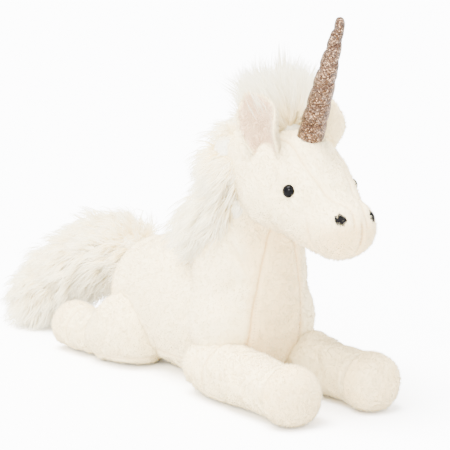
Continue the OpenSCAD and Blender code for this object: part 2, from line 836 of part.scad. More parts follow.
torso_side_panel("right_");  // torso_right_panel
torso_side_panel("left_");  // torso_left_panel
chest_panel();
belly_panel();
torso_stuffing();
belly_bead_pouch();
mane();
neck_fill();
head_side_panel("right_");  // head_right_panel
head_side_panel("left_");  // head_left_panel
head_crown_strip();
head_stuffing();
forelock();
head_mane();
horn_cover();
horn_stuffing();
horn_thread();
tail_dock();
tail_core();
tail_fur();
for (side = SIDE_NAMES) {
    eye(side);
    eye_washer(side);
    nostril(side);
    ear_back(side);
    ear_lining(side);
    front_upper_leg(side);
    front_upper_leg_stuffing(side);
    front_elbow_fill(side);
    front_leg_sleeve(side);
    front_leg_stuffing(side);
    front_hoof(side);
    front_hoof_stuffing(side);
    front_hoof_sole(side);
    hind_leg_skin(side);
    hind_leg_stuffing(side);
    hind_hoof_sole(side);
}
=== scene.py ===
"""A plush unicorn lying down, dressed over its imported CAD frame."""

import logging
import math
from dataclasses import dataclass, field
from enum import Enum
from typing import Callable, Sequence

import bmesh
import bpy
import numpy as np
from mathutils import Euler, Matrix, Vector, noise
from mathutils.kdtree import KDTree


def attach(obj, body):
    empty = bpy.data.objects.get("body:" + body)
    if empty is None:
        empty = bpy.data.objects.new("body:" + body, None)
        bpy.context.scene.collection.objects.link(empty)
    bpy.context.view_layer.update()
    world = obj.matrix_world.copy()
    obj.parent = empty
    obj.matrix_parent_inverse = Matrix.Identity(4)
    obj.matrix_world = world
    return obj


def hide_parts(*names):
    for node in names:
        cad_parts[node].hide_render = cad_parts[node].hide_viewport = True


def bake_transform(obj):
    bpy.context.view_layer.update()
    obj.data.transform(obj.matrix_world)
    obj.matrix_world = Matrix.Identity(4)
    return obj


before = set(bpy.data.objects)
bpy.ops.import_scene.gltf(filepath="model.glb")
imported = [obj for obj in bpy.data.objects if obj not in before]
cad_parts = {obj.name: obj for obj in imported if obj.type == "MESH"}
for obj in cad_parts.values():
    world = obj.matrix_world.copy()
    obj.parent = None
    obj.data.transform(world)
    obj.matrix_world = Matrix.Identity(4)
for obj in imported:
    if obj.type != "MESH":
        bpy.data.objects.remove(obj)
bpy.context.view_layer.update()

LOG = logging.getLogger("unicorn")
MM = 0.001
FRAMES = 20  # length of a cloth simulation
STUFFING_PRESSURE = 4.0
SEAM_HOLD = 2.2  # reach of a seam's grip on the cloth in the simulation, in mm
PIN_REACH = 9  # reach of the grip of a piece sewn through the cloth, in mm
FLOOR_HOLD = 0.6  # cloth lower than this lies on the floor and is held, in mm
NAP_FLOOR = 0.15  # lowest height of a tuft's tip, in mm
UNDERSIDE = 0.9  # skin lower than this is lain on and grows no nap, in mm
CAP_SKIN = 0.06  # a root nearer than this to the plane of a cut is on the hidden cap, in mm
CHEST_HEIGHTS = (20, 42, 73, 100, 126, 150)
CHEST_HALF_WIDTHS = (26, 24, 21.4, 16.6, 10.6, 7)
Colour = tuple[float, float, float]
Point = tuple[float, float, float]
Station = tuple[float, float, float, float, float, float, float]


class Side(Enum):
    """A side of the animal, with the sign of X on it."""

    RIGHT = -1
    LEFT = 1

    @property
    def word(self) -> str:
        """The side's name in lower case."""
        return self.name.lower()


# ------------------------------------------------------------------ bmesh help
def ring_matrix(s: Station) -> Matrix:
    """Places a unit circle as one ring of a soft body.

    Args:
        s: x, y, z, half width, half depth, pitch and yaw of the ring.

    Returns:
        The matrix that takes the unit circle in XY to that ring.
    """
    x, y, z, wide, deep, pitch, yaw = s
    turn = Matrix.Rotation(math.radians(yaw), 4, "Z") @ Matrix.Rotation(math.radians(-pitch), 4, "X")
    return (Matrix.Translation((x, y, z)) @ turn @ Matrix.Rotation(math.radians(90), 4, "X")
            @ Matrix.Diagonal((wide, deep, 1, 1)))


def forward(s: Station) -> Vector:
    """The way that a ring looks."""
    pitch, yaw = math.radians(s[5]), math.radians(s[6])
    return Vector((math.cos(pitch) * math.sin(yaw), -math.cos(pitch) * math.cos(yaw), math.sin(pitch)))


def smooth_line(stations: Sequence[Station], steps: int) -> list[Station]:
    """Adds stations between the given ones along a Catmull-Rom curve."""
    rows = np.array(stations, float)
    out = []
    for i in range(len(rows) - 1):
        a, b, c, d = (rows[max(0, min(len(rows) - 1, i + k))] for k in (-1, 0, 1, 2))
        for k in range(steps):
            t = k / steps
            out.append(0.5 * (2 * b + (c - a) * t + (2 * a - 5 * b + 4 * c - d) * t * t
                              + (3 * b - a - 3 * c + d) * t**3))
    out.append(rows[-1])
    return [tuple(float(v) for v in r) for r in out]


def add_loft(bm: bmesh.types.BMesh, stations: Sequence[Station], back: float, front: float,
             sides: int = 40, steps: int = 5) -> None:
    """Adds a closed soft body through stations, with a domed cap at each end.

    Args:
        bm: the mesh to add to.
        stations: the rings, from the back end to the front end.
        back: reach of the dome behind the first ring.
        front: reach of the dome before the last ring.
        sides: points in each ring.
        steps: rings between two stations.
    """
    line = smooth_line(stations, steps)
    angles = (84, 72, 60, 48, 36, 24, 12)

    def dome(end: Station, reach: float, order: Sequence[int]) -> list[Station]:
        """The rings of one domed cap."""
        made = []
        for a in order:
            p = Vector(end[:3]) + forward(end) * math.sin(math.radians(a)) * reach
            shrink = math.cos(math.radians(a))
            made.append((p.x, p.y, p.z, end[3] * shrink, end[4] * shrink, end[5], end[6]))
        return made

    rings = dome(line[0], -back, angles) + line + dome(line[-1], front, angles[::-1])
    loops = []
    for i, r in enumerate(rings):
        capped = i in (0, len(rings) - 1)
        made = bmesh.ops.create_circle(bm, cap_ends=capped, segments=sides, radius=1, matrix=ring_matrix(r))
        verts = set(made["verts"])
        loops.append([e for e in {e for v in verts for e in v.link_edges} if e.verts[0] in verts
                      and e.verts[1] in verts])
    for a, b in zip(loops, loops[1:]):
        bmesh.ops.bridge_loops(bm, edges=a + b)


def add_ball(bm: bmesh.types.BMesh, centre: Point, radii: Point, turn: Point = (0, 0, 0)) -> None:
    """Adds an ellipsoid, with its turns in degrees."""
    angles = Euler([math.radians(a) for a in turn]).to_matrix().to_4x4()
    bmesh.ops.create_icosphere(bm, subdivisions=4, radius=1,
                               matrix=Matrix.Translation(centre) @ angles @ Matrix.Diagonal((*radii, 1)))


def link(name: str, data: bpy.types.ID) -> bpy.types.Object:
    """Makes an object from its data and links it to the scene."""
    made = bpy.data.objects.new(name, data)
    bpy.context.scene.collection.objects.link(made)
    return made


def to_object(bm: bmesh.types.BMesh, name: str) -> bpy.types.Object:
    """Makes an object in metres from a mesh in millimetres, with its faces outwards.

    Args:
        bm: the mesh, which is freed.
        name: the object's name.

    Returns:
        The object, linked to the scene.
    """
    bmesh.ops.recalc_face_normals(bm, faces=bm.faces)
    bmesh.ops.scale(bm, vec=(MM, MM, MM), verts=bm.verts)
    mesh = bpy.data.meshes.new(name)
    bm.to_mesh(mesh)
    bm.free()
    mesh.shade_smooth()
    return link(name, mesh)


def settle(piece: bpy.types.Object) -> None:
    """Applies every modifier of a piece to its mesh."""
    graph = bpy.context.evaluated_depsgraph_get()
    mesh = bpy.data.meshes.new_from_object(piece.evaluated_get(graph))
    piece.modifiers.clear()
    old, piece.data = piece.data, mesh
    mesh.name = piece.name
    bpy.data.meshes.remove(old)
    mesh.shade_smooth()


def points_of(mesh: bpy.types.Mesh) -> np.ndarray:
    """The mesh's points in millimetres."""
    flat = np.empty(len(mesh.vertices) * 3, np.float32)
    mesh.vertices.foreach_get("co", flat)
    return flat.reshape(-1, 3).astype(float) / MM


def normals_of(mesh: bpy.types.Mesh) -> np.ndarray:
    """The mesh's point normals."""
    flat = np.empty(len(mesh.vertices) * 3, np.float32)
    mesh.vertices.foreach_get("normal", flat)
    return flat.reshape(-1, 3).astype(float)


def place_points(mesh: bpy.types.Mesh, points: np.ndarray) -> None:
    """Moves the mesh's points to these, in millimetres."""
    mesh.vertices.foreach_set("co", (points * MM).astype(np.float32).ravel())
    mesh.update()


def remeshed(piece: bpy.types.Object, voxel: float, smooth: int) -> None:
    """Joins a piece's overlapping bodies into one skin.

    Args:
        piece: the piece, changed in place.
        voxel: size of a face in millimetres.
        smooth: rounds of smoothing, which fill the creases between the bodies.
    """
    cut = piece.modifiers.new("skin", "REMESH")
    cut.mode, cut.voxel_size, cut.adaptivity = "VOXEL", voxel * MM, 0
    soft = piece.modifiers.new("soft", "SMOOTH")
    soft.factor, soft.iterations = 0.5, smooth
    settle(piece)


def on_floor(mesh: bpy.types.Mesh, depth: float = 6) -> None:
    """Flattens whatever would sink under the floor, as soft cloth does.

    Args:
        mesh: the mesh, changed in place.
        depth: height over which the cloth eases into its flat.
    """
    p = points_of(mesh)
    low = p[:, 2] < depth
    t = np.clip((depth - p[low, 2]) / depth, 0, 3)
    p[low, 2] = depth * np.exp(-t * 1.25) - depth * math.exp(-3.75) + 0.02
    place_points(mesh, p)


def lumps(points: np.ndarray, size: float, seed: float) -> np.ndarray:
    """Smooth random heights from -1 to 1 at points in millimetres."""
    shift = Vector((seed, seed * 1.7, seed * 0.6))
    return np.array([noise.noise(Vector(p) / size + shift) for p in points])


class Seam:
    """A sewn line on a skin, as the places where a height field crosses nought."""

    def __init__(self, height: Callable[[np.ndarray], np.ndarray],
                 where: Callable[[np.ndarray], np.ndarray],
                 depth: float = 0.9, width: float = 1.5, puff: float = 0.35) -> None:
        """Keeps the seam's shape.

        Args:
            height: distance from the seam's sheet, in millimetres, for each point.
            where: from 0 to 1, how far the seam is there at each point.
            depth: depth of the groove.
            width: half width of the groove.
            puff: rise of the cloth beside the groove.
        """
        self.height, self.where = height, where
        self.depth, self.width, self.puff = depth, width, puff

    def rise(self, points: np.ndarray) -> np.ndarray:
        """How far the seam lifts each point along its normal."""
        d = self.height(points)
        groove = -self.depth * np.exp(-((d / self.width) ** 2))
        puffed = self.puff * np.exp(-(((np.abs(d) - 3.4 * self.width) / (1.7 * self.width)) ** 2))
        return (groove + puffed) * np.clip(self.where(points), 0, 1)

    def near(self, points: np.ndarray, reach: float) -> np.ndarray:
        """From 0 to 1, how near each point is to the seam."""
        return np.exp(-((self.height(points) / reach) ** 2)) * np.clip(self.where(points), 0, 1)


def ramp(v: np.ndarray, low: float, high: float) -> np.ndarray:
    """Rises smoothly from 0 at low to 1 at high."""
    t = np.clip((v - low) / (high - low), 0, 1)
    return t * t * (3 - 2 * t)


def inflate(piece: bpy.types.Object, seams: Sequence[Seam], cap: float,
            pins: Sequence[Point] = ()) -> None:
    """Fills a skin with a cloth simulation, held at its seams, and applies the result.

    Args:
        piece: the skin, changed in place.
        seams: its seams, where the cloth is held back.
        cap: the farthest that a point may move, in millimetres.
        pins: places where something sewn through the cloth holds it.
    """
    mesh = piece.data
    start = points_of(mesh)
    held = piece.vertex_groups.new(name="held")
    grip = np.zeros(len(start))
    for seam in seams:
        grip = np.maximum(grip, seam.near(start, SEAM_HOLD))
    for pin in pins:
        grip = np.maximum(grip, np.exp(-((np.linalg.norm(start - np.array(pin), axis=1) / PIN_REACH) ** 2)))
    grip = np.maximum(grip, start[:, 2] < FLOOR_HOLD)
    for step in (0.25, 0.5, 0.75, 1.0):
        chosen = np.nonzero(grip > step - 0.2)[0]
        held.add([int(i) for i in chosen], step, "REPLACE")
    cloth = piece.modifiers.new("fill", "CLOTH")
    rules = cloth.settings
    rules.quality, rules.mass, rules.time_scale = 4, 0.25, 0.6
    rules.tension_stiffness = rules.compression_stiffness = 12
    rules.shear_stiffness, rules.bending_stiffness = 6, 1.2
    rules.use_pressure, rules.uniform_pressure_force = True, STUFFING_PRESSURE
    rules.shrink_min = -0.03
    rules.vertex_group_mass = "held"
    rules.effector_weights.gravity = 0
    cloth.collision_settings.use_collision = False
    cloth.point_cache.frame_start, cloth.point_cache.frame_end = 1, FRAMES
    scene = bpy.context.scene
    for number in range(1, FRAMES + 1):
        scene.frame_set(number)
    settle(piece)
    scene.frame_set(1)
    moved = points_of(piece.data) - start
    far = np.linalg.norm(moved, axis=1)
    calm = cap * np.tanh(far / cap) / np.maximum(far, 1e-6)
    place_points(piece.data, start + moved * calm[:, None])
    piece.vertex_groups.clear()


def subdivided(piece: bpy.types.Object, levels: int) -> None:
    """Subdivides a piece and applies it."""
    fine = piece.modifiers.new("fine", "SUBSURF")
    fine.levels = fine.render_levels = levels
    settle(piece)


def sewn(piece: bpy.types.Object, seams: Sequence[Seam], seed: float, lump: float = 0.5) -> None:
    """Presses the seams into a skin and gives it the small unevenness of stuffing.

    Args:
        piece: the skin, changed in place.
        seams: its seams.
        seed: picks the unevenness.
        lump: height of the unevenness in millimetres.
    """
    p, n = points_of(piece.data), normals_of(piece.data)
    rise = lump * lumps(p, 17, seed) + 0.35 * lump * lumps(p, 6, seed + 5)
    for seam in seams:
        rise += seam.rise(p)
        pucker = seam.near(p, 4.5) * np.sin(p @ np.array([1.1, 1.35, 1.2])) * 0.16
        rise += pucker
    rise *= ramp(p[:, 2], 0.0, 3.0)
    place_points(piece.data, p + n * rise[:, None])


def part(piece: bpy.types.Object, at: Point, normal: Point, keep_front: bool,
         name: str) -> bpy.types.Object:
    """Copies the part of a closed piece on one side of a plane, and closes it there.

    Args:
        piece: the whole piece.
        at: a point of the plane, in millimetres.
        normal: the plane's normal.
        keep_front: keep the side that the normal points to.
        name: name of the new piece.

    Returns:
        The new piece.
    """
    bm = bmesh.new()
    bm.from_mesh(piece.data)
    cut = bmesh.ops.bisect_plane(bm, geom=bm.verts[:] + bm.edges[:] + bm.faces[:], dist=1e-7,
                                 plane_co=Vector(at) * MM, plane_no=normal,
                                 clear_outer=not keep_front, clear_inner=keep_front)
    rim = [e for e in cut["geom_cut"] if isinstance(e, bmesh.types.BMEdge)]
    for e in rim:
        e.smooth = False
    lid = bmesh.ops.triangle_fill(bm, edges=rim, use_beauty=True)
    bmesh.ops.recalc_face_normals(bm, faces=bm.faces)
    for g in lid["geom"]:
        if isinstance(g, bmesh.types.BMFace):
            g.smooth = False
    mesh = bpy.data.meshes.new(name)
    bm.to_mesh(mesh)
    bm.free()
    for m in piece.data.materials:
        mesh.materials.append(m)
    return link(name, mesh)


def discard(piece: bpy.types.Object) -> None:
    """Removes a piece that was only a step."""
    mesh = piece.data
    bpy.data.objects.remove(piece)
    bpy.data.meshes.remove(mesh)


# ------------------------------------------------------------------ materials
class Nodes:
    """A short way to lay out the nodes of one tree."""

    def __init__(self, tree: bpy.types.NodeTree) -> None:
        """Keeps the tree."""
        self.tree = tree

    def add(self, kind: str, inputs: dict | None = None, **settings) -> bpy.types.Node:
        """Adds a node, with values or links for its inputs.

        Args:
            kind: the node's type.
            inputs: input name or number to a value, or to a socket that feeds it.
            settings: the node's own settings.

        Returns:
            The node.
        """
        made = self.tree.nodes.new(kind)
        for key, value in settings.items():
            setattr(made, key, value)
        for key, value in (inputs or {}).items():
            if isinstance(value, bpy.types.NodeSocket):
                self.tree.links.new(value, made.inputs[key])
            else:
                made.inputs[key].default_value = value
        return made

    def ramp(self, source: bpy.types.NodeSocket,
             stops: Sequence[tuple[float, Colour]]) -> bpy.types.NodeSocket:
        """Adds a colour ramp on a value and gives its colour."""
        made = self.add("ShaderNodeValToRGB", {"Fac": source})
        bar = made.color_ramp
        while len(bar.elements) < len(stops):
            bar.elements.new(0.5)
        for spot, (place, tint) in zip(bar.elements, stops):
            spot.position, spot.color = place, (*tint, 1)
        return made.outputs["Color"]

    def mix(self, blend: str, share, a, b) -> bpy.types.NodeSocket:
        """Mixes two colours, each a socket or a plain colour, by a share."""
        made = self.add("ShaderNodeMix", data_type="RGBA", blend_type=blend)
        for place, value in ((0, share), (6, a), (7, b)):
            if isinstance(value, bpy.types.NodeSocket):
                self.tree.links.new(value, made.inputs[place])
            else:
                made.inputs[place].default_value = (*value, 1) if place else value
        return made.outputs[2]

    def math(self, operation: str, a, b=0.0) -> bpy.types.NodeSocket:
        """Adds a math node and gives its value."""
        return self.add("ShaderNodeMath", {0: a, 1: b}, operation=operation).outputs[0]


def pile_group() -> bpy.types.NodeTree:
    """Builds the node group for short pile: fine fibres over soft clumps.

    Returns:
        A group with inputs Vector, Fibre Scale and Clump Scale, and outputs Fibre, Clump and Height.
    """
    tree = bpy.data.node_groups.new("short_pile_grain", "ShaderNodeTree")
    face = tree.interface
    face.new_socket("Vector", in_out="INPUT", socket_type="NodeSocketVector")
    for name, value in (("Fibre Scale", 800.0), ("Clump Scale", 130.0)):
        face.new_socket(name, in_out="INPUT", socket_type="NodeSocketFloat").default_value = value
    for name in ("Fibre", "Clump", "Height"):
        face.new_socket(name, in_out="OUTPUT", socket_type="NodeSocketFloat")
    n = Nodes(tree)
    given, out = n.add("NodeGroupInput"), n.add("NodeGroupOutput")
    fibre = n.add("ShaderNodeTexNoise",
                  {"Vector": given.outputs["Vector"], "Scale": given.outputs["Fibre Scale"],
                   "Detail": 3.0, "Roughness": 0.65,
                   "Distortion": 0.9}).outputs["Fac"]
    clump = n.add("ShaderNodeTexNoise",
                  {"Vector": given.outputs["Vector"], "Scale": given.outputs["Clump Scale"],
                   "Detail": 4.0, "Roughness": 0.6, "Distortion": 0.5}).outputs["Fac"]
    height = n.math("ADD", n.math("MULTIPLY", fibre, 0.55), n.math("MULTIPLY", clump, 0.9))
    for name, value in (("Fibre", fibre), ("Clump", clump), ("Height", height)):
        tree.links.new(value, out.inputs[name])
    return tree


class Finish:
    """A material with a Principled shader and a short way to its nodes."""

    def __init__(self, name: str, roughness: float, sheen: float = 0.0, sheen_tint: Colour = (1, 1, 1),
                 specular: float = 0.5) -> None:
        """Makes the material.

        Args:
            name: the material's name.
            roughness: its roughness where no node sets it.
            sheen: weight of the soft sheen of cloth.
            sheen_tint: colour of that sheen.
            specular: strength of the reflection.
        """
        self.material = bpy.data.materials.new(name)
        self.material.use_nodes = True
        self.nodes = Nodes(self.material.node_tree)
        self.shader = self.material.node_tree.nodes["Principled BSDF"]
        sockets = self.shader.inputs
        sockets["Roughness"].default_value = roughness
        sockets["Sheen Weight"].default_value = sheen
        sockets["Sheen Roughness"].default_value = 0.45
        sockets["Sheen Tint"].default_value = (*sheen_tint, 1)
        sockets["Specular IOR Level"].default_value = specular

    def feed(self, **sources) -> None:
        """Links sockets into the shader, with _ for a space in an input's name."""
        for key, source in sources.items():
            self.material.node_tree.links.new(source, self.shader.inputs[key.replace("_", " ")])

    def place(self) -> bpy.types.NodeSocket:
        """The Object coordinates."""
        return self.nodes.add("ShaderNodeTexCoord").outputs["Object"]

    def thin(self, colour: bpy.types.NodeSocket, through: float, open_share: float) -> None:
        """Makes the surface a mass of fine fibres that light passes through.

        Args:
            colour: colour of the light that comes through.
            through: share of the light that comes through a fibre.
            open_share: share of the light that passes between the fibres of a strand.
        """
        tree = self.material.node_tree
        back = self.nodes.add("ShaderNodeBsdfTranslucent", {"Color": colour})
        fibre = self.nodes.add("ShaderNodeMixShader",
                               {0: through, 1: self.shader.outputs[0], 2: back.outputs[0]})
        gap = self.nodes.math("MULTIPLY", self.nodes.add("ShaderNodeLightPath").outputs["Is Shadow Ray"],
                              open_share)
        clear = self.nodes.add("ShaderNodeBsdfTransparent")
        mixed = self.nodes.add("ShaderNodeMixShader", {0: gap, 1: fibre.outputs[0], 2: clear.outputs[0]})
        tree.links.new(mixed.outputs[0], tree.nodes["Material Output"].inputs["Surface"])

    def bump(self, height: bpy.types.NodeSocket, strength: float, distance: float) -> None:
        """Feeds a bump into the shader's normal."""
        made = self.nodes.add("ShaderNodeBump",
                              {"Height": height, "Strength": strength, "Distance": distance})
        self.feed(Normal=made.outputs["Normal"])


@dataclass(frozen=True)
class ShortPlush:
    """Short pile cloth with a fine nap."""

    name: str
    light: Colour
    deep: Colour
    warm: Colour
    bump: float = 0.4
    # The warm tone and shade colour is multiplied in by an attribute: the hoof ends and muzzle get their
    # own warmer tone, and the chest front and muzzle get painted shade.
    warm_tone_and_shade: Colour = (0.88, 0.76, 0.62)
    # The seam colour is multiplied in along each seam line, darker where the groove is deeper: painted
    # shade in the groove.
    seam: Colour = (0.72, 0.6, 0.46)

    def build(self, grain: bpy.types.NodeTree) -> bpy.types.Material:
        """Makes the material.

        Args:
            grain: the short pile group.

        Returns:
            The material.
        """
        f = Finish(self.name, 0.92, sheen=0.25, sheen_tint=(1, 0.95, 0.85), specular=0.1)
        n, where = f.nodes, f.place()
        pile = n.add("ShaderNodeGroup", {"Vector": where}, node_tree=grain)
        base = n.ramp(pile.outputs["Clump"], ((0.3, self.deep), (0.62, self.light)))
        fibres = n.ramp(pile.outputs["Fibre"], ((0.28, self.warm), (0.55, (1, 1, 1))))
        mixed = n.mix("MULTIPLY", 0.8, base, fibres)
        # Multiplies in a warmer, darker tone: the own tone of the hoof ends and muzzle, and painted shade
        # on the chest front and muzzle.
        toned_and_shaded = n.mix("MULTIPLY", n.add("ShaderNodeAttribute", attribute_name="warm_tone_and_shade").outputs["Fac"],
                       mixed, self.warm_tone_and_shade)
        # Multiplies in painted shade along each seam groove, darker where the groove is deeper.
        groove_shaded = n.mix("MULTIPLY", n.add("ShaderNodeAttribute", attribute_name="seam").outputs["Fac"],
                      toned_and_shaded, self.seam)
        f.feed(Base_Color=groove_shaded)
        f.bump(pile.outputs["Height"], self.bump, 0.0006)
        return f.material


@dataclass(frozen=True)
class LongPile:
    """Long silky pile, darker and warmer at the roots."""

    name: str
    root: Colour
    tip: Colour
    through: float = 0.4
    open_share: float = 0.6

    def build(self) -> bpy.types.Material:
        """Makes the material of the strands, which carry a UV map of tint across and length up."""
        f = Finish(self.name, 0.6, sheen=0.15, sheen_tint=(1, 0.97, 0.9), specular=0.15)
        n = f.nodes
        uv = n.add("ShaderNodeUVMap", uv_map="strand").outputs["UV"]
        parts = n.add("ShaderNodeSeparateXYZ", {0: uv})
        along = n.ramp(parts.outputs["Y"], ((0.0, self.root), (0.55, self.tip)))
        tint = n.ramp(parts.outputs["X"],
                      ((0.0, (0.97, 0.95, 0.9)), (0.5, (1, 1, 0.985)), (1.0, (1, 1, 1))))
        colour = n.mix("MULTIPLY", 0.75, along, tint)
        f.feed(Base_Color=colour)
        f.thin(colour, self.through, self.open_share)
        return f.material


@dataclass(frozen=True)
class Undercoat:
    """The dense woolly ground under long pile."""

    name: str
    light: Colour
    deep: Colour

    def build(self) -> bpy.types.Material:
        """Makes the material, with streaks that run down and back like combed fur."""
        f = Finish(self.name, 0.8, sheen=0.3, specular=0.2)
        n, where = f.nodes, f.place()
        spread = n.add("ShaderNodeMapping", {"Vector": where, "Scale": (900, 260, 260)})
        streak = n.add("ShaderNodeTexNoise",
                       {"Vector": spread.outputs[0], "Scale": 1.0, "Detail": 4.0, "Distortion": 1.5})
        f.feed(Base_Color=n.ramp(streak.outputs["Fac"], ((0.32, self.deep), (0.6, self.light))))
        f.bump(streak.outputs["Fac"], 0.9, 0.003)
        return f.material


@dataclass(frozen=True)
class GlitterCloth:
    """Cloth covered with fine metal glitter."""

    name: str
    dark: Colour
    mid: Colour
    bright: Colour
    grain: float = 1300.0

    def build(self) -> bpy.types.Material:
        """Makes the material: flakes of random tint, tilt and gloss."""
        f = Finish(self.name, 0.35, specular=0.5)
        n, where = f.nodes, f.place()
        flake = n.add("ShaderNodeTexVoronoi", {"Vector": where, "Scale": self.grain, "Randomness": 1.0})
        tint = n.add("ShaderNodeSeparateColor", {0: flake.outputs["Color"]})
        shade = n.add("ShaderNodeTexNoise", {"Vector": where, "Scale": 260.0, "Detail": 2.0})
        pick = n.math("ADD", n.math("MULTIPLY", tint.outputs[0], 0.75),
                      n.math("MULTIPLY", shade.outputs["Fac"], 0.25))
        f.feed(Base_Color=n.ramp(pick,
                                 ((0.12, self.dark), (0.34, self.mid), (0.66, self.mid),
                                  (0.9, self.bright))),
               Metallic=n.ramp(tint.outputs[1], ((0.2, (0.35, 0.35, 0.35)), (0.7, (0.95, 0.95, 0.95)))),
               Roughness=n.ramp(tint.outputs[2], ((0.1, (0.22, 0.22, 0.22)), (0.9, (0.55, 0.55, 0.55)))))
        tilt = n.math("ADD", tint.outputs[1], n.math("MULTIPLY", flake.outputs["Distance"], 0.8))
        f.bump(tilt, 0.9, 0.0009)
        return f.material


@dataclass(frozen=True)
class GlossPlastic:
    """Moulded gloss plastic with faint moulding marks."""

    name: str
    tint: Colour

    def build(self) -> bpy.types.Material:
        """Makes the material."""
        f = Finish(self.name, 0.06, specular=0.035)
        n, where = f.nodes, f.place()
        haze = n.add("ShaderNodeTexNoise", {"Vector": where, "Scale": 300.0, "Detail": 2.0}).outputs["Fac"]
        f.feed(Base_Color=n.ramp(haze,
                                 ((0.3, self.tint), (0.8, tuple(v * 1.5 + 0.002 for v in self.tint)))),
               Roughness=n.ramp(haze, ((0.3, (0.04,) * 3), (0.8, (0.1,) * 3))))
        return f.material


@dataclass(frozen=True)
class Stitched:
    """Thread laid close together."""

    name: str
    light: Colour
    deep: Colour
    scale: float = 1500.0
    specular: float = 0.2

    def build(self) -> bpy.types.Material:
        """Makes the material, with the twist of the thread as bands."""
        f = Finish(self.name, 0.7, specular=self.specular)
        n, where = f.nodes, f.place()
        twist = n.add("ShaderNodeTexWave",
                      {"Vector": where, "Scale": self.scale, "Distortion": 3.0, "Detail": 2.0,
                       "Detail Scale": 2.0}, bands_direction="DIAGONAL")
        f.feed(Base_Color=n.ramp(twist.outputs["Fac"], ((0.2, self.deep), (0.8, self.light))))
        f.bump(twist.outputs["Fac"], 0.6, 0.0003)
        return f.material


@dataclass(frozen=True)
class Moulded:
    """Plain moulded plastic or cloth for the pieces held inside."""

    name: str
    light: Colour
    deep: Colour
    roughness: float = 0.6

    def build(self) -> bpy.types.Material:
        """Makes the material with a fine mottle."""
        f = Finish(self.name, self.roughness, specular=0.3)
        n, where = f.nodes, f.place()
        grain = n.add("ShaderNodeTexNoise", {"Vector": where, "Scale": 700.0, "Detail": 3.0}).outputs["Fac"]
        f.feed(Base_Color=n.ramp(grain, ((0.3, self.deep), (0.7, self.light))))
        f.bump(grain, 0.3, 0.0004)
        return f.material


class Wardrobe:
    """All the finishes, made once."""

    def __init__(self) -> None:
        """Builds the shared group and the materials."""
        grain = pile_group()
        self.plush = ShortPlush("ivory_plush", (0.95, 0.82, 0.51), (0.93, 0.775, 0.45),
                                (0.98, 0.965, 0.93)).build(grain)
        self.lining = ShortPlush("ear_lining_plush", (0.9, 0.69, 0.45), (0.8, 0.57, 0.35),
                                 (0.94, 0.88, 0.8), 0.7).build(grain)
        self.lining_nap = LongPile("lining_fibres", (0.84, 0.62, 0.4), (0.94, 0.76, 0.54)).build()
        self.nap = LongPile("nap_fibres", (0.95, 0.815, 0.52), (0.97, 0.865, 0.6), 0.3, 0.75).build()
        self.long_pile = LongPile("long_pile_fibres", (0.97, 0.85, 0.53), (0.995, 0.96, 0.83), 0.5,
                                  0.92).build()
        self.undercoat = Undercoat("long_pile_ground", (0.99, 0.945, 0.77), (0.975, 0.88, 0.62)).build()
        self.glitter = GlitterCloth("rose_gold_glitter", (0.012, 0.005, 0.0025), (0.066, 0.032, 0.0145),
                                    (0.5, 0.31, 0.18)).build()
        self.horn_thread = Stitched("horn_winding", (0.12, 0.055, 0.028), (0.05, 0.02, 0.011)).build()
        self.eye = GlossPlastic("black_eye", (0.0015, 0.0015, 0.0017)).build()
        self.black_stitch = Stitched("black_satin_stitch", (0.006, 0.0055, 0.0055), (0.002, 0.002, 0.002),
                                     specular=0.06).build()
        self.seam_stitch = Stitched("ivory_thread", (0.58, 0.41, 0.25), (0.4, 0.26, 0.15)).build()
        self.washer = Moulded("washer_plastic", (0.85, 0.83, 0.78), (0.78, 0.76, 0.7)).build()
        self.pouch = Moulded("pouch_cloth", (0.8, 0.76, 0.68), (0.7, 0.66, 0.58), 0.9).build()
        self.fill = Moulded("fibre_fill", (0.96, 0.96, 0.95), (0.85, 0.85, 0.84), 0.95).build()


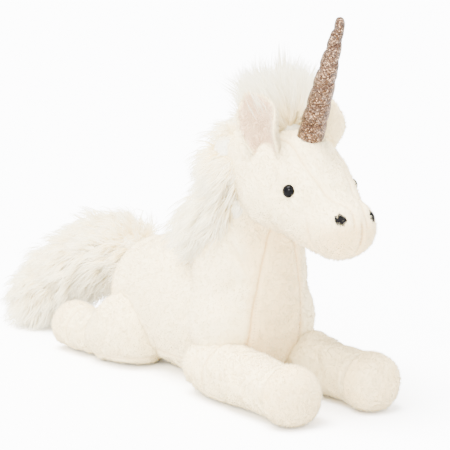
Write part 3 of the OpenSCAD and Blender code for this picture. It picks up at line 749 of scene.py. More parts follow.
# ------------------------------------------------------------------ strands
class StrandKind:
    """One tapered strand, made once and repeated along many paths."""

    def __init__(self, points: int, sides: int = 3, pointed: bool = True) -> None:
        """Makes the strand.

        Args:
            points: places along its path, ends included.
            sides: its sides.
            pointed: it ends in a point, else in a flat end.
        """
        bm = bmesh.new()
        bmesh.ops.create_cone(bm, cap_ends=True, segments=sides, radius1=1, radius2=0 if pointed else 1,
                              depth=1,
                              matrix=Matrix.Translation((0, 0, 0.5)))
        bmesh.ops.remove_doubles(bm, verts=bm.verts, dist=1e-4)
        for k in range(1, points - 1):
            bmesh.ops.bisect_plane(bm, geom=bm.verts[:] + bm.edges[:] + bm.faces[:], dist=1e-5,
                                   plane_co=(0, 0, k / (points - 1)), plane_no=(0, 0, 1))
        bmesh.ops.recalc_face_normals(bm, faces=bm.faces)
        bm.verts.index_update()
        self.level = np.array([round(v.co.z * (points - 1)) for v in bm.verts])
        self.angle = np.array([math.atan2(v.co.y, v.co.x) for v in bm.verts])
        self.faces = [[v.index for v in f.verts] for f in bm.faces]
        self.pointed = pointed
        bm.free()

    def grow(self, name: str, paths: np.ndarray, radii: np.ndarray, tints: np.ndarray) -> bpy.types.Object:
        """Repeats the strand along paths.

        Args:
            name: name of the piece.
            paths: places in millimetres, as strands by points by 3.
            radii: half thickness, as strands by points.
            tints: a number from 0 to 1 for each strand.

        Returns:
            The piece, with a UV map of tint across and length up.
        """
        count, points, _ = paths.shape
        along = np.gradient(paths, axis=1)
        along /= np.linalg.norm(along, axis=2, keepdims=True) + 1e-9
        ref = np.random.default_rng(5).normal(size=(count, 1, 3))
        u = ref - (ref * along).sum(2, keepdims=True) * along
        u /= np.linalg.norm(u, axis=2, keepdims=True) + 1e-9
        v = np.cross(along, u)
        level, angle = self.level, self.angle
        thick = radii[:, level, None].copy()
        if self.pointed:
            thick[:, level == points - 1] = 0
        spots = (paths[:, level]
                 + thick * (np.cos(angle)[None, :, None] * u[:, level]
                            + np.sin(angle)[None, :, None] * v[:, level]))
        per = len(level)
        corners = np.concatenate([np.array(f) for f in self.faces])
        sizes = np.array([len(f) for f in self.faces])
        loops = (corners[None] + per * np.arange(count)[:, None]).ravel()
        totals = np.tile(sizes, count)
        mesh = bpy.data.meshes.new(name)
        mesh.vertices.add(per * count)
        mesh.loops.add(len(loops))
        mesh.polygons.add(len(totals))
        mesh.vertices.foreach_set("co", (spots * MM).astype(np.float32).ravel())
        mesh.loops.foreach_set("vertex_index", loops.astype(np.int32))
        mesh.polygons.foreach_set("loop_start",
                                  np.concatenate([[0], np.cumsum(totals)[:-1]]).astype(np.int32))
        mesh.update(calc_edges=True)
        mesh.validate()
        flat = mesh.uv_layers.new(name="strand")
        uv = np.stack([np.repeat(tints, len(corners)), np.tile(level[corners] / (points - 1), count)], 1)
        flat.data.foreach_set("uv", uv.astype(np.float32).ravel())
        mesh.shade_smooth()
        return link(name, mesh)


def roots_on(piece: bpy.types.Object, count: int, rng: np.random.Generator,
             keep: Callable[[np.ndarray], np.ndarray] | None = None) -> tuple[np.ndarray, np.ndarray]:
    """Scatters roots evenly over a piece.

    Args:
        piece: the piece.
        count: how many roots to try.
        rng: a seeded generator.
        keep: says which places are kept.

    Returns:
        The roots in millimetres, and the outward normals there.
    """
    mesh = piece.data
    mesh.calc_loop_triangles()
    tri = np.empty(len(mesh.loop_triangles) * 3, np.int32)
    mesh.loop_triangles.foreach_get("vertices", tri)
    tri = tri.reshape(-1, 3)
    p, n = points_of(mesh), normals_of(mesh)
    area = np.linalg.norm(np.cross(p[tri[:, 1]] - p[tri[:, 0]], p[tri[:, 2]] - p[tri[:, 0]]), axis=1)
    pick = rng.choice(len(tri), size=count, p=area / area.sum())
    a, b = rng.random(count), rng.random(count)
    over = a + b > 1
    a[over], b[over] = 1 - a[over], 1 - b[over]
    w = np.stack([1 - a - b, a, b], 1)[:, :, None]
    where, way = (p[tri[pick]] * w).sum(1), (n[tri[pick]] * w).sum(1)
    way /= np.linalg.norm(way, axis=1, keepdims=True) + 1e-9
    if keep is not None:
        good = keep(where)
        where, way = where[good], way[good]
    return where, way


def unit(v: np.ndarray) -> np.ndarray:
    """Rows of v at length 1."""
    return v / (np.linalg.norm(v, axis=-1, keepdims=True) + 1e-9)


NAP = StrandKind(2)
FUR = StrandKind(5)


@dataclass(frozen=True)
class Nap:
    """The short pile that stands on a skin."""

    length: float = 1.9
    radius: float = 0.28
    lean: float = 1.1
    comb: Point = (0.0, 0.75, -0.55)
    parting: float = 1.7
    bare: float = 0.72
    rooted: float = 0.3

    def grow(self, skin: bpy.types.Object, name: str, count: int, seed: int, material: bpy.types.Material,
             seams: Sequence[Seam] = (),
             keep: Callable[[np.ndarray], np.ndarray] | None = None) -> bpy.types.Object:
        """Grows the pile on a finished skin.

        Args:
            skin: the skin.
            name: name of the pile.
            count: number of tufts to try.
            seed: picks the tufts.
            material: its finish.
            seams: seams, where the pile is parted and short.
            keep: says which places get pile.

        Returns:
            The pile.
        """
        rng = np.random.default_rng(seed)
        p, n = roots_on(skin, count, rng, keep)
        comb = np.array(self.comb) + 0.35 * rng.normal(size=p.shape)
        swirl = np.stack([lumps(p, 23, seed + k) for k in range(3)], 1)
        comb = comb + 1.1 * swirl
        comb -= (comb * n).sum(1, keepdims=True) * n
        parted = np.zeros(len(p))
        for seam in seams:
            parted = np.maximum(parted, seam.near(p, self.parting))
        kept = parted <= self.bare
        p, n, comb, parted = p[kept], n[kept], comb[kept], parted[kept]
        long = self.length * (0.6 + 0.8 * rng.random(len(p))) * (1 - 0.72 * parted)
        way = unit(n + self.lean * unit(comb) + 0.25 * rng.normal(size=p.shape))
        tip = p + way * long[:, None]
        tip[:, 2] = np.maximum(tip[:, 2], NAP_FLOOR)
        paths = np.stack([p - n * self.rooted, tip], 1)
        radii = np.stack([np.full(len(p), self.radius), np.zeros(len(p))], 1)
        made = NAP.grow(name, paths, radii, rng.random(len(p)))
        made.data.materials.append(material)
        return made


@dataclass(frozen=True)
class Pile:
    """Long pile, in locks that gather towards their tips."""

    length: float
    radius: float = 0.42
    stand: float = 1.0
    droop: float = 0.6
    wild: float = 0.3
    lock: float = 0.5
    locks: int = 420
    rooted: float = 1.2
    scatter: float = 1.3

    def grow(self, ground: bpy.types.Object, name: str, count: int, seed: int, material: bpy.types.Material,
             flow: Callable[[np.ndarray], np.ndarray],
             keep: Callable[[np.ndarray], np.ndarray] | None = None,
             scale: Callable[[np.ndarray], np.ndarray] | None = None) -> bpy.types.Object:
        """Grows the pile on its ground.

        Args:
            ground: the piece that the pile is rooted in.
            name: name of the pile.
            count: number of strands to try.
            seed: picks the strands.
            material: their finish.
            flow: the way that the pile is combed at each place.
            keep: says which places get pile.
            scale: how long the pile is at a place, as a share of the length.

        Returns:
            The pile.
        """
        rng = np.random.default_rng(seed)
        p, n = roots_on(ground, count, rng, keep)
        total, steps = len(p), 5
        chosen = rng.choice(total, size=min(self.locks, total), replace=False)
        tree = KDTree(len(chosen))
        for i, k in enumerate(chosen):
            tree.insert(Vector(p[k]), i)
        tree.balance()
        member = np.array([tree.find(Vector(q))[1] for q in p])
        own = rng.normal(size=(total, 3)) * 0.16 + rng.normal(size=(len(chosen), 3))[member] * self.wild
        long = (self.length * (0.72 + 0.5 * rng.random(total))
                * (0.8 + 0.4 * rng.random(len(chosen)))[member])
        if scale is not None:
            long = long * scale(p)
        paths = np.empty((total, steps, 3))
        paths[:, 0] = p - n * self.rooted
        here = p.copy()
        for k in range(1, steps):
            t = k / (steps - 1)
            pull = flow(here)
            way = unit(n * self.stand * (1 - t) + pull * (0.35 + t) + own
                       + np.array([0, 0, -self.droop * t]))
            here = here + way * (long / (steps - 1))[:, None]
            paths[:, k] = here
        lead = paths[chosen][member]
        share = self.lock * np.linspace(0, 1, steps)[None, :, None] ** 1.2
        spread = rng.normal(size=(total, 1, 3)) * self.scatter
        paths = paths * (1 - share) + (lead + spread) * share
        paths[:, :, 2] = np.maximum(paths[:, :, 2], 0.5 + 1.5 * rng.random((total, 1)))
        taper = np.array([1, 0.95, 0.75, 0.45, 0])
        radii = self.radius * (0.7 + 0.6 * rng.random((total, 1))) * taper[None]
        made = FUR.grow(name, paths, radii, rng.random(total))
        made.data.materials.append(material)
        return made


# ------------------------------------------------------------------ seams
def to_line(points: Sequence[Point], mirrored: bool = False) -> Callable[[np.ndarray], np.ndarray]:
    """Distance from a line through points, on both sides of the animal if mirrored."""
    def one(p: np.ndarray) -> np.ndarray:
        far = np.full(len(p), 1e3)
        for a, b in zip(points, points[1:]):
            a, d = np.array(a), np.array(b) - np.array(a)
            t = np.clip(((p - a) @ d) / (d @ d), 0, 1)
            far = np.minimum(far, np.linalg.norm(p - a - t[:, None] * d, axis=1))
        return far
    if not mirrored:
        return one
    return lambda p: np.minimum(one(p), one(p * np.array([-1, 1, 1])))


def always(p: np.ndarray) -> np.ndarray:
    """A seam that is there all along its line."""
    return np.ones(len(p))


@dataclass(frozen=True)
class Dimple:
    """A pressed-in place with small folds that radiate from it."""

    at: Point
    radius: float
    depth: float
    folds: int = 0
    fold_depth: float = 0.0

    def rise(self, p: np.ndarray) -> np.ndarray:
        """How far the dimple lifts each point."""
        d = p - np.array(self.at)
        r = np.linalg.norm(d, axis=1)
        out = -self.depth * np.exp(-((r / self.radius) ** 2))
        if self.folds:
            turn = np.arctan2(d[:, 2], d[:, 1])
            ring = np.exp(-(((r - 1.5 * self.radius) / (0.75 * self.radius)) ** 2))
            out += self.fold_depth * np.cos(self.folds * turn + 0.6 * np.sin(3 * turn)) * ring
        return out


def stitch_row(skin: bpy.types.Object, name: str, places: Sequence[Point], across: Sequence[Point],
               length: float,
               radius: float, material: bpy.types.Material) -> bpy.types.Object:
    """Lays short stitches on a skin.

    Args:
        skin: the skin under them.
        name: name of the row.
        places: places in millimetres, which are moved to the skin.
        across: the way that each stitch runs.
        length: length of a stitch.
        radius: half thickness of the thread.
        material: its finish.

    Returns:
        The row of stitches.
    """
    rows = []
    for at, way in zip(places, across):
        _, spot, normal, _ = skin.closest_point_on_mesh(Vector(at) * MM)
        spot, run = spot / MM, Vector(way) - normal * normal.dot(Vector(way))
        run.normalize()
        half = run * length / 2
        rows.append([spot - half - normal * 0.5, spot - half * 0.6 + normal * radius * 1.6,
                     spot + normal * radius * 2.4,
                     spot + half * 0.6 + normal * radius * 1.6, spot + half - normal * 0.5])
    paths = np.array(rows)
    kind = StrandKind(5, sides=6, pointed=False)
    made = kind.grow(name, paths, np.full(paths.shape[:2], radius), np.linspace(0, 1, len(rows)))
    made.data.materials.append(material)
    return made


def mask_seams(piece: bpy.types.Object, seams: Sequence[Seam],
               warm_tone_and_shade: Callable[[np.ndarray], np.ndarray]) -> None:
    """Writes where the seams run, as painted shade in their grooves, and where the cloth takes a warmer own
    tone and painted shade, for the plush to read.
    """
    p = points_of(piece.data)
    line = np.zeros(len(p))
    # Painted shade along the groove of each seam, stronger where the seam is deeper.
    for seam in seams:
        line = np.maximum(line, seam.near(p, 0.8) * min(1.0, seam.depth / 0.9))
    for name, values in (("seam", line), ("warm_tone_and_shade", np.clip(warm_tone_and_shade(p), 0, 1))):
        layer = piece.data.attributes.new(name, "FLOAT", "POINT")
        layer.data.foreach_set("value", values.astype(np.float32))


# ------------------------------------------------------------------ sub-assemblies
@dataclass
class Body:
    """The torso, neck and head: one stuffed skin, in two pieces that meet round the neck."""

    wardrobe: Wardrobe
    torso_line: tuple[Station, ...] = (
        (0, 72, 50, 44, 50, 0, 0), (0, 28.8, 55, 49, 57, 0, 0), (0, -8, 56, 48, 57, 6, 0),
        (0, -48, 62, 45, 55, 36, 0),
        (0, -55, 92, 43, 46, 64, 0), (0, -60, 120, 36, 38, 74, 0), (0, -64, 140, 33, 34, 72, 0),
        (0, -69, 156, 32, 32, 70, 0))
    head_line: tuple[Station, ...] = (
        (0, -66, 179, 34, 32, -4, 0), (0, -92.1, 173.4, 39, 36, -12, 0), (0, -119.4, 163.4, 37, 35, -22, 0),
        (0, -144.3, 151.4, 31, 29, -24, 0), (0, -163.3, 140.7, 24, 22.5, -20, 0))
    neck_cut: float = 118.0
    eye: Point = (-29.5, -144.5, 166.3)
    nostril: Point = (-13.2, -184.2, 149.3)
    seams: list[Seam] = field(default_factory=list)

    def __post_init__(self) -> None:
        """Lays out the seams and folds."""
        chest = lambda p: np.abs(p[:, 0]) - np.interp(p[:, 2], CHEST_HEIGHTS, CHEST_HALF_WIDTHS)
        crown = lambda p: (np.abs(p[:, 0])
                           - np.interp(-p[:, 1], (60, 131, 152, 162, 175, 186), (17, 16, 14.6, 12.3, 9, 5)))
        above = lambda p: ramp(p[:, 2] - 182 - 0.404 * (p[:, 1] + 66), 8, 14)
        self.seams = [
            Seam(chest, lambda p: ramp(-p[:, 1], 60, 68) * ramp(p[:, 2], 12, 20)
                 * ramp(p[:, 1], -128, -120) * ramp(150 - p[:, 2], 0, 8), 1.0, 1.3, 0.45),
            Seam(crown, lambda p: above(p) * ramp(-p[:, 1], 100, 116), 0.8, 1.1, 0.35),
            Seam(lambda p: p[:, 1] + 161 - 0.1 * (p[:, 2] - 140),
                 lambda p: ramp(154 - p[:, 2], 0, 8) * ramp(np.abs(p[:, 0]), 12, 18), 0.6, 1.4, 0.5),
            Seam(lambda p: p[:, 0] - 0.6,
                 lambda p: ramp(-p[:, 1], 172, 178) * ramp(p[:, 2], 122, 127) * ramp(150 - p[:, 2], 0, 4),
                 1.0, 1.0, 0.5),
            Seam(lambda p: p[:, 0], lambda p: ramp(p[:, 1], -20, -8) * ramp(p[:, 2], 70, 80), 0.8, 1.3,
                 0.4),
            Seam(lambda p: p[:, 2] - 17, lambda p: ramp(p[:, 1], -66, -60), 0.8, 1.3, 0.4),
            Seam(to_line(((-33.5, -76, 118), (-32, -79, 113), (-29.5, -84, 107), (-27, -88, 100))), always,
                 2.0, 1.7, 0.8),
            Seam(to_line(((34, -74, 120), (31, -80, 112), (29, -84, 104))), always, 1.5, 1.7, 0.6),
            Seam(to_line(((-31, -80, 142), (-29.5, -83, 132), (-28, -86, 124)), True), always, 1.0, 2.2,
                 0.6),
            Seam(to_line(((-24, -100, 138), (-25, -112, 140), (-25.5, -128, 137), (-23.5, -142, 133)),
                         True), always, 0.6, 2.2, 0.4),
            Seam(to_line(((-41, -58, 62), (-37, -70, 60), (-30, -78, 58))), always, 0.9, 2.6, 0.5),
            Seam(to_line(((-43, -30, 70), (-46, -38, 60), (-47, -44, 52))), always, 0.7, 2.8, 0.5)]

    def dimples(self) -> list[Dimple]:
        """The pressed-in places round the eyes and nostrils."""
        out = []
        for side in Side:
            (x, y, z), (u, v, w) = self.eye, self.nostril
            out.append(Dimple((-x * side.value, y, z), 5.6, 1.6, 9, 0.34))
            out.append(Dimple((-u * side.value, v, w), 3.2, 0.9, 7, 0.18))
        return out

    def shape(self) -> bpy.types.Object:
        """Makes the whole skin, filled and sewn."""
        bm = bmesh.new()
        add_loft(bm, self.torso_line, 41, 12)
        add_loft(bm, self.head_line, 23, 25)
        add_ball(bm, (0, -124, 187), (23, 20, 16.5), (10, 0, 0))
        add_ball(bm, (0, -171, 141.5), (24.5, 20.5, 21.5), (-20, 0, 0))
        add_ball(bm, (0, -166, 134), (20, 18, 13))
        add_ball(bm, (0, -177, 149), (19, 12, 12))
        for s in (-1, 1):
            add_ball(bm, (s * 33, -56, 52), (16, 28, 34), (8, 0, 0))
            add_ball(bm, (s * 20, -112, 160), (21, 28, 24), (-15, 0, 0))
        whole = to_object(bm, "whole_skin")
        remeshed(whole, 4.6, 4)
        on_floor(whole.data)
        pins = [(x * s, y, z) for x, y, z in (self.eye, self.nostril) for s in (-1, 1)]
        inflate(whole, self.seams[:6], 2.6, pins=pins)
        on_floor(whole.data, 3)
        subdivided(whole, 2)
        sewn(whole, self.seams, 3.0, 0.45)
        p, n = points_of(whole.data), normals_of(whole.data)
        rise = sum(d.rise(p) for d in self.dimples())
        place_points(whole.data, p + n * rise[:, None])
        # Warmer, darker tone: round the muzzle partly its own pinkish tone and partly painted shade, and on
        # the chest front, under the head, painted shade.
        muzzle = np.array([0, -180, 136.0])
        mask_seams(whole, self.seams,
                   lambda p: 0.8 * np.exp(-(np.linalg.norm(p - muzzle, axis=1) / 17) ** 2)
                   + 0.75 * ramp(-p[:, 1], 66, 84) * ramp(30 - np.abs(p[:, 0]), 0, 9)
                   * ramp(148 - p[:, 2], 0, 8))
        return whole

    def build(self) -> list[bpy.types.Object]:
        """Makes the two skins and their pile, and sews on their stitches.

        Returns:
            The two skins.
        """
        w, cut = self.wardrobe, self.neck_cut
        whole = self.shape()
        torso = part(whole, (0, 0, cut), (0, 0, 1), False, "torso_skin")
        head = part(whole, (0, 0, cut), (0, 0, 1), True, "head_skin")
        discard(whole)
        on_cap = lambda p: np.abs(p[:, 2] - cut) > CAP_SKIN
        nap = Nap()
        torso_nap = nap.grow(torso, "torso_pile", 34000, 11, w.nap, self.seams,
                             lambda p: on_cap(p) & (p[:, 2] > 1.5))
        head_nap = Nap(comb=(0, 0.9, 0.1)).grow(head, "head_pile", 30000, 12, w.nap, self.seams, on_cap)
        for piece in (torso, torso_nap):
            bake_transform(piece)
        for piece in (head, head_nap):
            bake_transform(piece)
        for piece in (torso, head):
            piece.data.materials.append(w.plush)
        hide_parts("torso_right_panel", "torso_left_panel", "chest_panel", "belly_panel",
                    "torso_stuffing")
        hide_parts("head_right_panel", "head_left_panel", "head_crown_strip", "head_stuffing",
                    "neck_fill")
        self.stitch(torso, head)
        LOG.info("body skins: %d and %d points", len(torso.data.vertices), len(head.data.vertices))
        return [torso, head]

    def stitch(self, torso: bpy.types.Object, head: bpy.types.Object) -> None:
        """Sews the closing stitches of the chest and the mouth."""
        w = self.wardrobe
        heights = np.arange(24, 79, 2.6)
        for side in Side:
            x = np.interp(heights, CHEST_HEIGHTS, CHEST_HALF_WIDTHS) * side.value
            spots = [(float(a), -92.0, float(z)) for a, z in zip(x, heights)]
            row = stitch_row(torso, f"{side.word}_chest_stitches", spots,
                             [(1, 0, 0.25)] * len(spots), 2.0, 0.16, w.seam_stitch)
            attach(row, "torso")
        mouth = stitch_row(head, "mouth_stitches", [(0.6, -188.0, z) for z in np.arange(129, 146, 2.4)],
                           [(1, 0, 0)] * 8, 2.2, 0.17, w.seam_stitch)
        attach(mouth, "head")


@dataclass
class FrontLeg:
    """A front leg: an upper sleeve and the part beyond the elbow, in two skins cut apart there."""

    wardrobe: Wardrobe
    side: Side
    line: tuple[Station, ...] = (
        (-36, -52, 21.5, 21, 20.5, 0, 0), (-36, -72, 21.5, 22.8, 22.4, 0, 0),
        (-36, -92, 21, 22, 21.4, 0, 0),
        (-36, -112, 20.8, 20.4, 20.6, 0, 0), (-36, -134, 20.6, 19.2, 19.8, 0, 0),
        (-36, -146, 20.6, 19, 19.6, 0, 0),
        (-36, -155, 21, 21, 21.2, 0, 0), (-36, -165, 21, 20.9, 21.2, 0, 0))
    elbow_cut: float = -96.0
    hoof_ring: float = -150.5

    def seams(self) -> list[Seam]:
        """The hoof ring, the end panel and the dart at the elbow."""
        out = self.side.value
        return [Seam(lambda p: p[:, 1] - self.hoof_ring, always, 3.0, 1.6, 0.9),
                Seam(lambda p: p[:, 1] + 76 + 0.12 * (p[:, 2] - 20),
                     lambda p: ramp(p[:, 0] * out, 30, 40) * ramp(p[:, 2], 3, 8), 1.1, 1.3, 0.5),
                Seam(lambda p: p[:, 2] - 5 - 0.06 * (p[:, 1] + 100), lambda p: ramp(p[:, 1], -147, -140),
                     0.6, 1.3, 0.3),
                Seam(to_line([(x * -out, y, z)
                              for x, y, z in ((-30, -120, 38), (-36, -123, 39), (-44, -121, 36))]), always,
                     0.5, 2.4, 0.3),
                Seam(to_line([(x * -out, y, z)
                              for x, y, z in ((-50, -88, 34), (-44, -92, 39), (-36, -93, 42))]), always,
                     0.6, 2.6, 0.4)]

    def build(self) -> None:
        """Makes the leg's two skins, their pile and the stitches round the hoof."""
        w, s, name = self.wardrobe, self.side.value, self.side.word
        line = [(x * -s, *rest) for x, *rest in self.line]
        seams = self.seams()
        bm = bmesh.new()
        add_loft(bm, line, 17, 8, 32)
        add_ball(bm, (36 * s, -165.5, 21), (20.2, 9.5, 20.2))
        whole = to_object(bm, f"{name}_front_whole")
        remeshed(whole, 3, 4)
        on_floor(whole.data)
        inflate(whole, seams[:3], 2.0)
        on_floor(whole.data, 3)
        subdivided(whole, 2)
        sewn(whole, seams, 7.0 + s, 0.4)
        mask_seams(whole, seams, lambda p: 0.45 * ramp(-p[:, 1], 148, 156))
        upper = part(whole, (0, self.elbow_cut, 0), (0, -1, 0), False, f"{name}_front_upper_skin")
        lower = part(whole, (0, self.elbow_cut, 0), (0, -1, 0), True, f"{name}_front_lower_skin")
        discard(whole)
        off_cap = lambda p: (np.abs(p[:, 1] - self.elbow_cut) > CAP_SKIN) & (p[:, 2] > UNDERSIDE)
        nap = Nap(comb=(0, -0.9, -0.2))
        upper_nap = nap.grow(upper, f"{name}_front_upper_pile", 9000, 21 + s, w.nap, seams, off_cap)
        lower_nap = nap.grow(lower, f"{name}_front_lower_pile", 12500, 31 + s, w.nap, seams, off_cap)
        elbow, leg = f"{name}_front_elbow", f"{name}_front_leg"
        for piece in (upper, upper_nap):
            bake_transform(piece)
        for piece in (lower, lower_nap):
            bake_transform(piece)
        turns = np.linspace(0, 2 * math.pi, 35)[:-1]
        turns = turns[np.sin(turns) > -0.9]
        ring = [(36 * s + 21 * math.cos(a), self.hoof_ring, 21 + 21 * math.sin(a)) for a in turns]
        row = stitch_row(lower, f"{name}_front_hoof_stitches", ring, [(0, 1, 0)] * len(ring), 3.4, 0.2,
                         w.seam_stitch)
        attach(row, leg)
        for piece in (upper, lower):
            piece.data.materials.append(w.plush)
        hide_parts(f"{name}_front_upper_leg", f"{name}_front_upper_leg_stuffing",
                    f"{name}_front_elbow_fill")
        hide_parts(*(f"{name}_front_{n}"
                      for n in ("leg_sleeve", "leg_stuffing", "hoof", "hoof_stuffing", "hoof_sole")))
        LOG.info("%s front leg", name)


@dataclass
class HindLeg:
    """A hind leg: the thigh against the rump, the shank and the hoof behind."""

    wardrobe: Wardrobe
    side: Side
    line: tuple[Station, ...] = (
        (-37, 52.7, 27.9, 29, 29.5, 0, 180), (-44, 70, 26.4, 27.4, 28.5, 0, 192),
        (-51, 91, 20.6, 18, 19.2, 0, 190),
        (-54, 106, 19, 17.4, 17.4, 0, 184), (-54, 121.7, 19.4, 19.8, 19.8, 0, 180),
        (-54, 134, 19.4, 19.9, 19.9, 0, 180))

    def seams(self) -> list[Seam]:
        """The ring of the hoof, its end panel and the seam under the thigh."""
        out = self.side.value
        return [Seam(lambda p: p[:, 1] - 112, always, 1.2, 1.2, 0.5),
                Seam(lambda p: p[:, 2] - 5 - 0.05 * (100 - p[:, 1]), lambda p: ramp(p[:, 0] * out, 20, 30),
                     0.6, 1.3, 0.3),
                Seam(lambda p: p[:, 1] - 88 + 0.5 * np.maximum(0, p[:, 2] - 26),
                     lambda p: ramp(p[:, 0] * out, 30, 46), 2.6, 3.0, 1.0),
                Seam(to_line([(x * -out, y, z)
                              for x, y, z in ((-52, 40, 52), (-62, 45, 42), (-67, 52, 28))]), always, 0.8,
                     2.4, 0.5)]

    def build(self) -> None:
        """Makes the leg's skin and pile."""
        w, s, name = self.wardrobe, self.side.value, self.side.word
        line = [(x * -s, y, z, a, b, pitch, yaw if s < 0 else 360 - yaw)
                for x, y, z, a, b, pitch, yaw in self.line]
        seams = self.seams()
        bm = bmesh.new()
        add_loft(bm, line, 26, 9, 32)
        add_ball(bm, (47 * s, 64, 28), (23, 26, 28.5), (-12, 0, 0))
        skin = to_object(bm, f"{name}_hind_skin")
        remeshed(skin, 3.9, 4)
        on_floor(skin.data)
        inflate(skin, seams[:2], 2.2)
        on_floor(skin.data, 3)
        subdivided(skin, 2)
        sewn(skin, seams, 15.0 + s, 0.5)
        mask_seams(skin, seams, lambda p: 0.4 * ramp(p[:, 1], 114, 122))
        pile = Nap(comb=(0, 0.8, -0.5)).grow(skin, f"{name}_hind_pile", 15500, 41 + s, w.nap, seams,
                                             lambda p: p[:, 2] > UNDERSIDE)
        for piece in (skin, pile):
            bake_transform(piece)
        skin.data.materials.append(w.plush)
        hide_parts(f"{name}_hind_leg_skin", f"{name}_hind_leg_stuffing", f"{name}_hind_hoof_sole")
        LOG.info("%s hind leg", name)


@dataclass
class Ear:
    """A cupped leaf of plush with a pinkish lining, folded in along its inner rim."""

    wardrobe: Wardrobe
    side: Side
    root: Point = (-23.0, -110.2, 191.2)
    height: float = 46.0
    half: float = 17.4

    def frame(self) -> Matrix:
        """The ear's own frame, +Z up the ear and the hollow at -Y."""
        flip = Matrix.Diagonal((-1, 1, 1, 1)) if self.side is Side.LEFT else Matrix.Identity(4)
        turn = Matrix.Rotation(math.radians(-46), 4, "Z") @ Matrix.Rotation(math.radians(-20), 4, "Y")
        return flip @ Matrix.Translation(self.root) @ turn

    def leaf(self, s: float, t: float, less: float, inward: float) -> Vector:
        """A place on the ear.

        Args:
            s: across, -1 to 1.
            t: up, 0 to 1.
            less: how much smaller the leaf is all round.
            inward: how far the sheet lies inside the back of the ear.

        Returns:
            The place in the ear's own frame.
        """
        wide = (np.interp(t, (0, 0.12, 0.3, 0.5, 0.7, 0.85, 0.95, 1),
                          (0.62, 0.8, 0.97, 1, 0.86, 0.62, 0.4, 0.22)) * self.half - less)
        bend = float(np.interp(t, (0, 0.25, 0.6, 1), (9.5, 13, 18, 26)))
        x = wide * s
        fold = max(0.0, s - 0.45) * float(np.interp(t, (0, 0.35, 0.8, 1), (0.9, 1.0, 0.35, 0)))
        a = x / bend + fold * 1.5
        r = bend - inward
        tip = 2.5 * (1 - s * s) * max(0.0, t - 0.85) / 0.15
        return Vector((r * math.sin(a), -bend + r * math.cos(a), t * (self.height - less) - 4 + tip))

    def sheet(self, name: str, less: float, inward: float, thick: float) -> bpy.types.Object:
        """Makes one of the ear's two cloths."""
        bm = bmesh.new()
        bmesh.ops.create_grid(bm, x_segments=20, y_segments=24, size=1)
        place = self.frame()
        for v in bm.verts:
            v.co = place @ self.leaf(v.co.x, (v.co.y + 1) / 2, less, inward)
        bmesh.ops.recalc_face_normals(bm, faces=bm.faces)
        outward = place.to_3x3() @ Vector((0, 1, 0))
        if sum(f.normal.dot(outward) for f in bm.faces) < 0:
            bmesh.ops.reverse_faces(bm, faces=bm.faces)
        bmesh.ops.scale(bm, vec=(MM, MM, MM), verts=bm.verts)
        mesh = bpy.data.meshes.new(name)
        bm.to_mesh(mesh)
        bm.free()
        made = link(name, mesh)
        wall = made.modifiers.new("cloth", "SOLIDIFY")
        wall.thickness, wall.offset = thick * MM, -1
        fine = made.modifiers.new("fine", "SUBSURF")
        fine.levels = fine.render_levels = 2
        settle(made)
        p, n = points_of(made.data), normals_of(made.data)
        place_points(made.data, p + n * (0.35 * lumps(p, 7, 60 + self.side.value))[:, None])
        return made

    def build(self) -> None:
        """Makes the ear's back, lining and pile."""
        w, name = self.wardrobe, self.side.word
        back = self.sheet(f"{name}_ear_back_skin", 0, 0, 1.8)
        lining = self.sheet(f"{name}_ear_lining_skin", 1.3, 1.7, 1.1)
        for piece in (back, lining):
            mask_seams(piece, (), lambda p: np.zeros(len(p)))
        way = self.frame().to_3x3() @ Vector((0, 0, 1))
        comb = tuple(way * 0.9)
        outer = Nap(2.0, 0.3, comb=comb).grow(back, f"{name}_ear_pile", 6000, 51 + self.side.value, w.nap)
        inner = Nap(2.6, 0.3, comb=comb).grow(lining, f"{name}_ear_lining_pile", 4000,
                                              61 + self.side.value, w.lining_nap)
        for piece in (back, lining, outer, inner):
            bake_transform(piece)
        for piece, cloth, slot in ((back, w.plush, "short_pile"), (lining, w.lining, "ear_lining")):
            piece.data.materials.append(cloth)
        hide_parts(f"{name}_ear_back")
        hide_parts(f"{name}_ear_lining")
        LOG.info("%s ear", name)


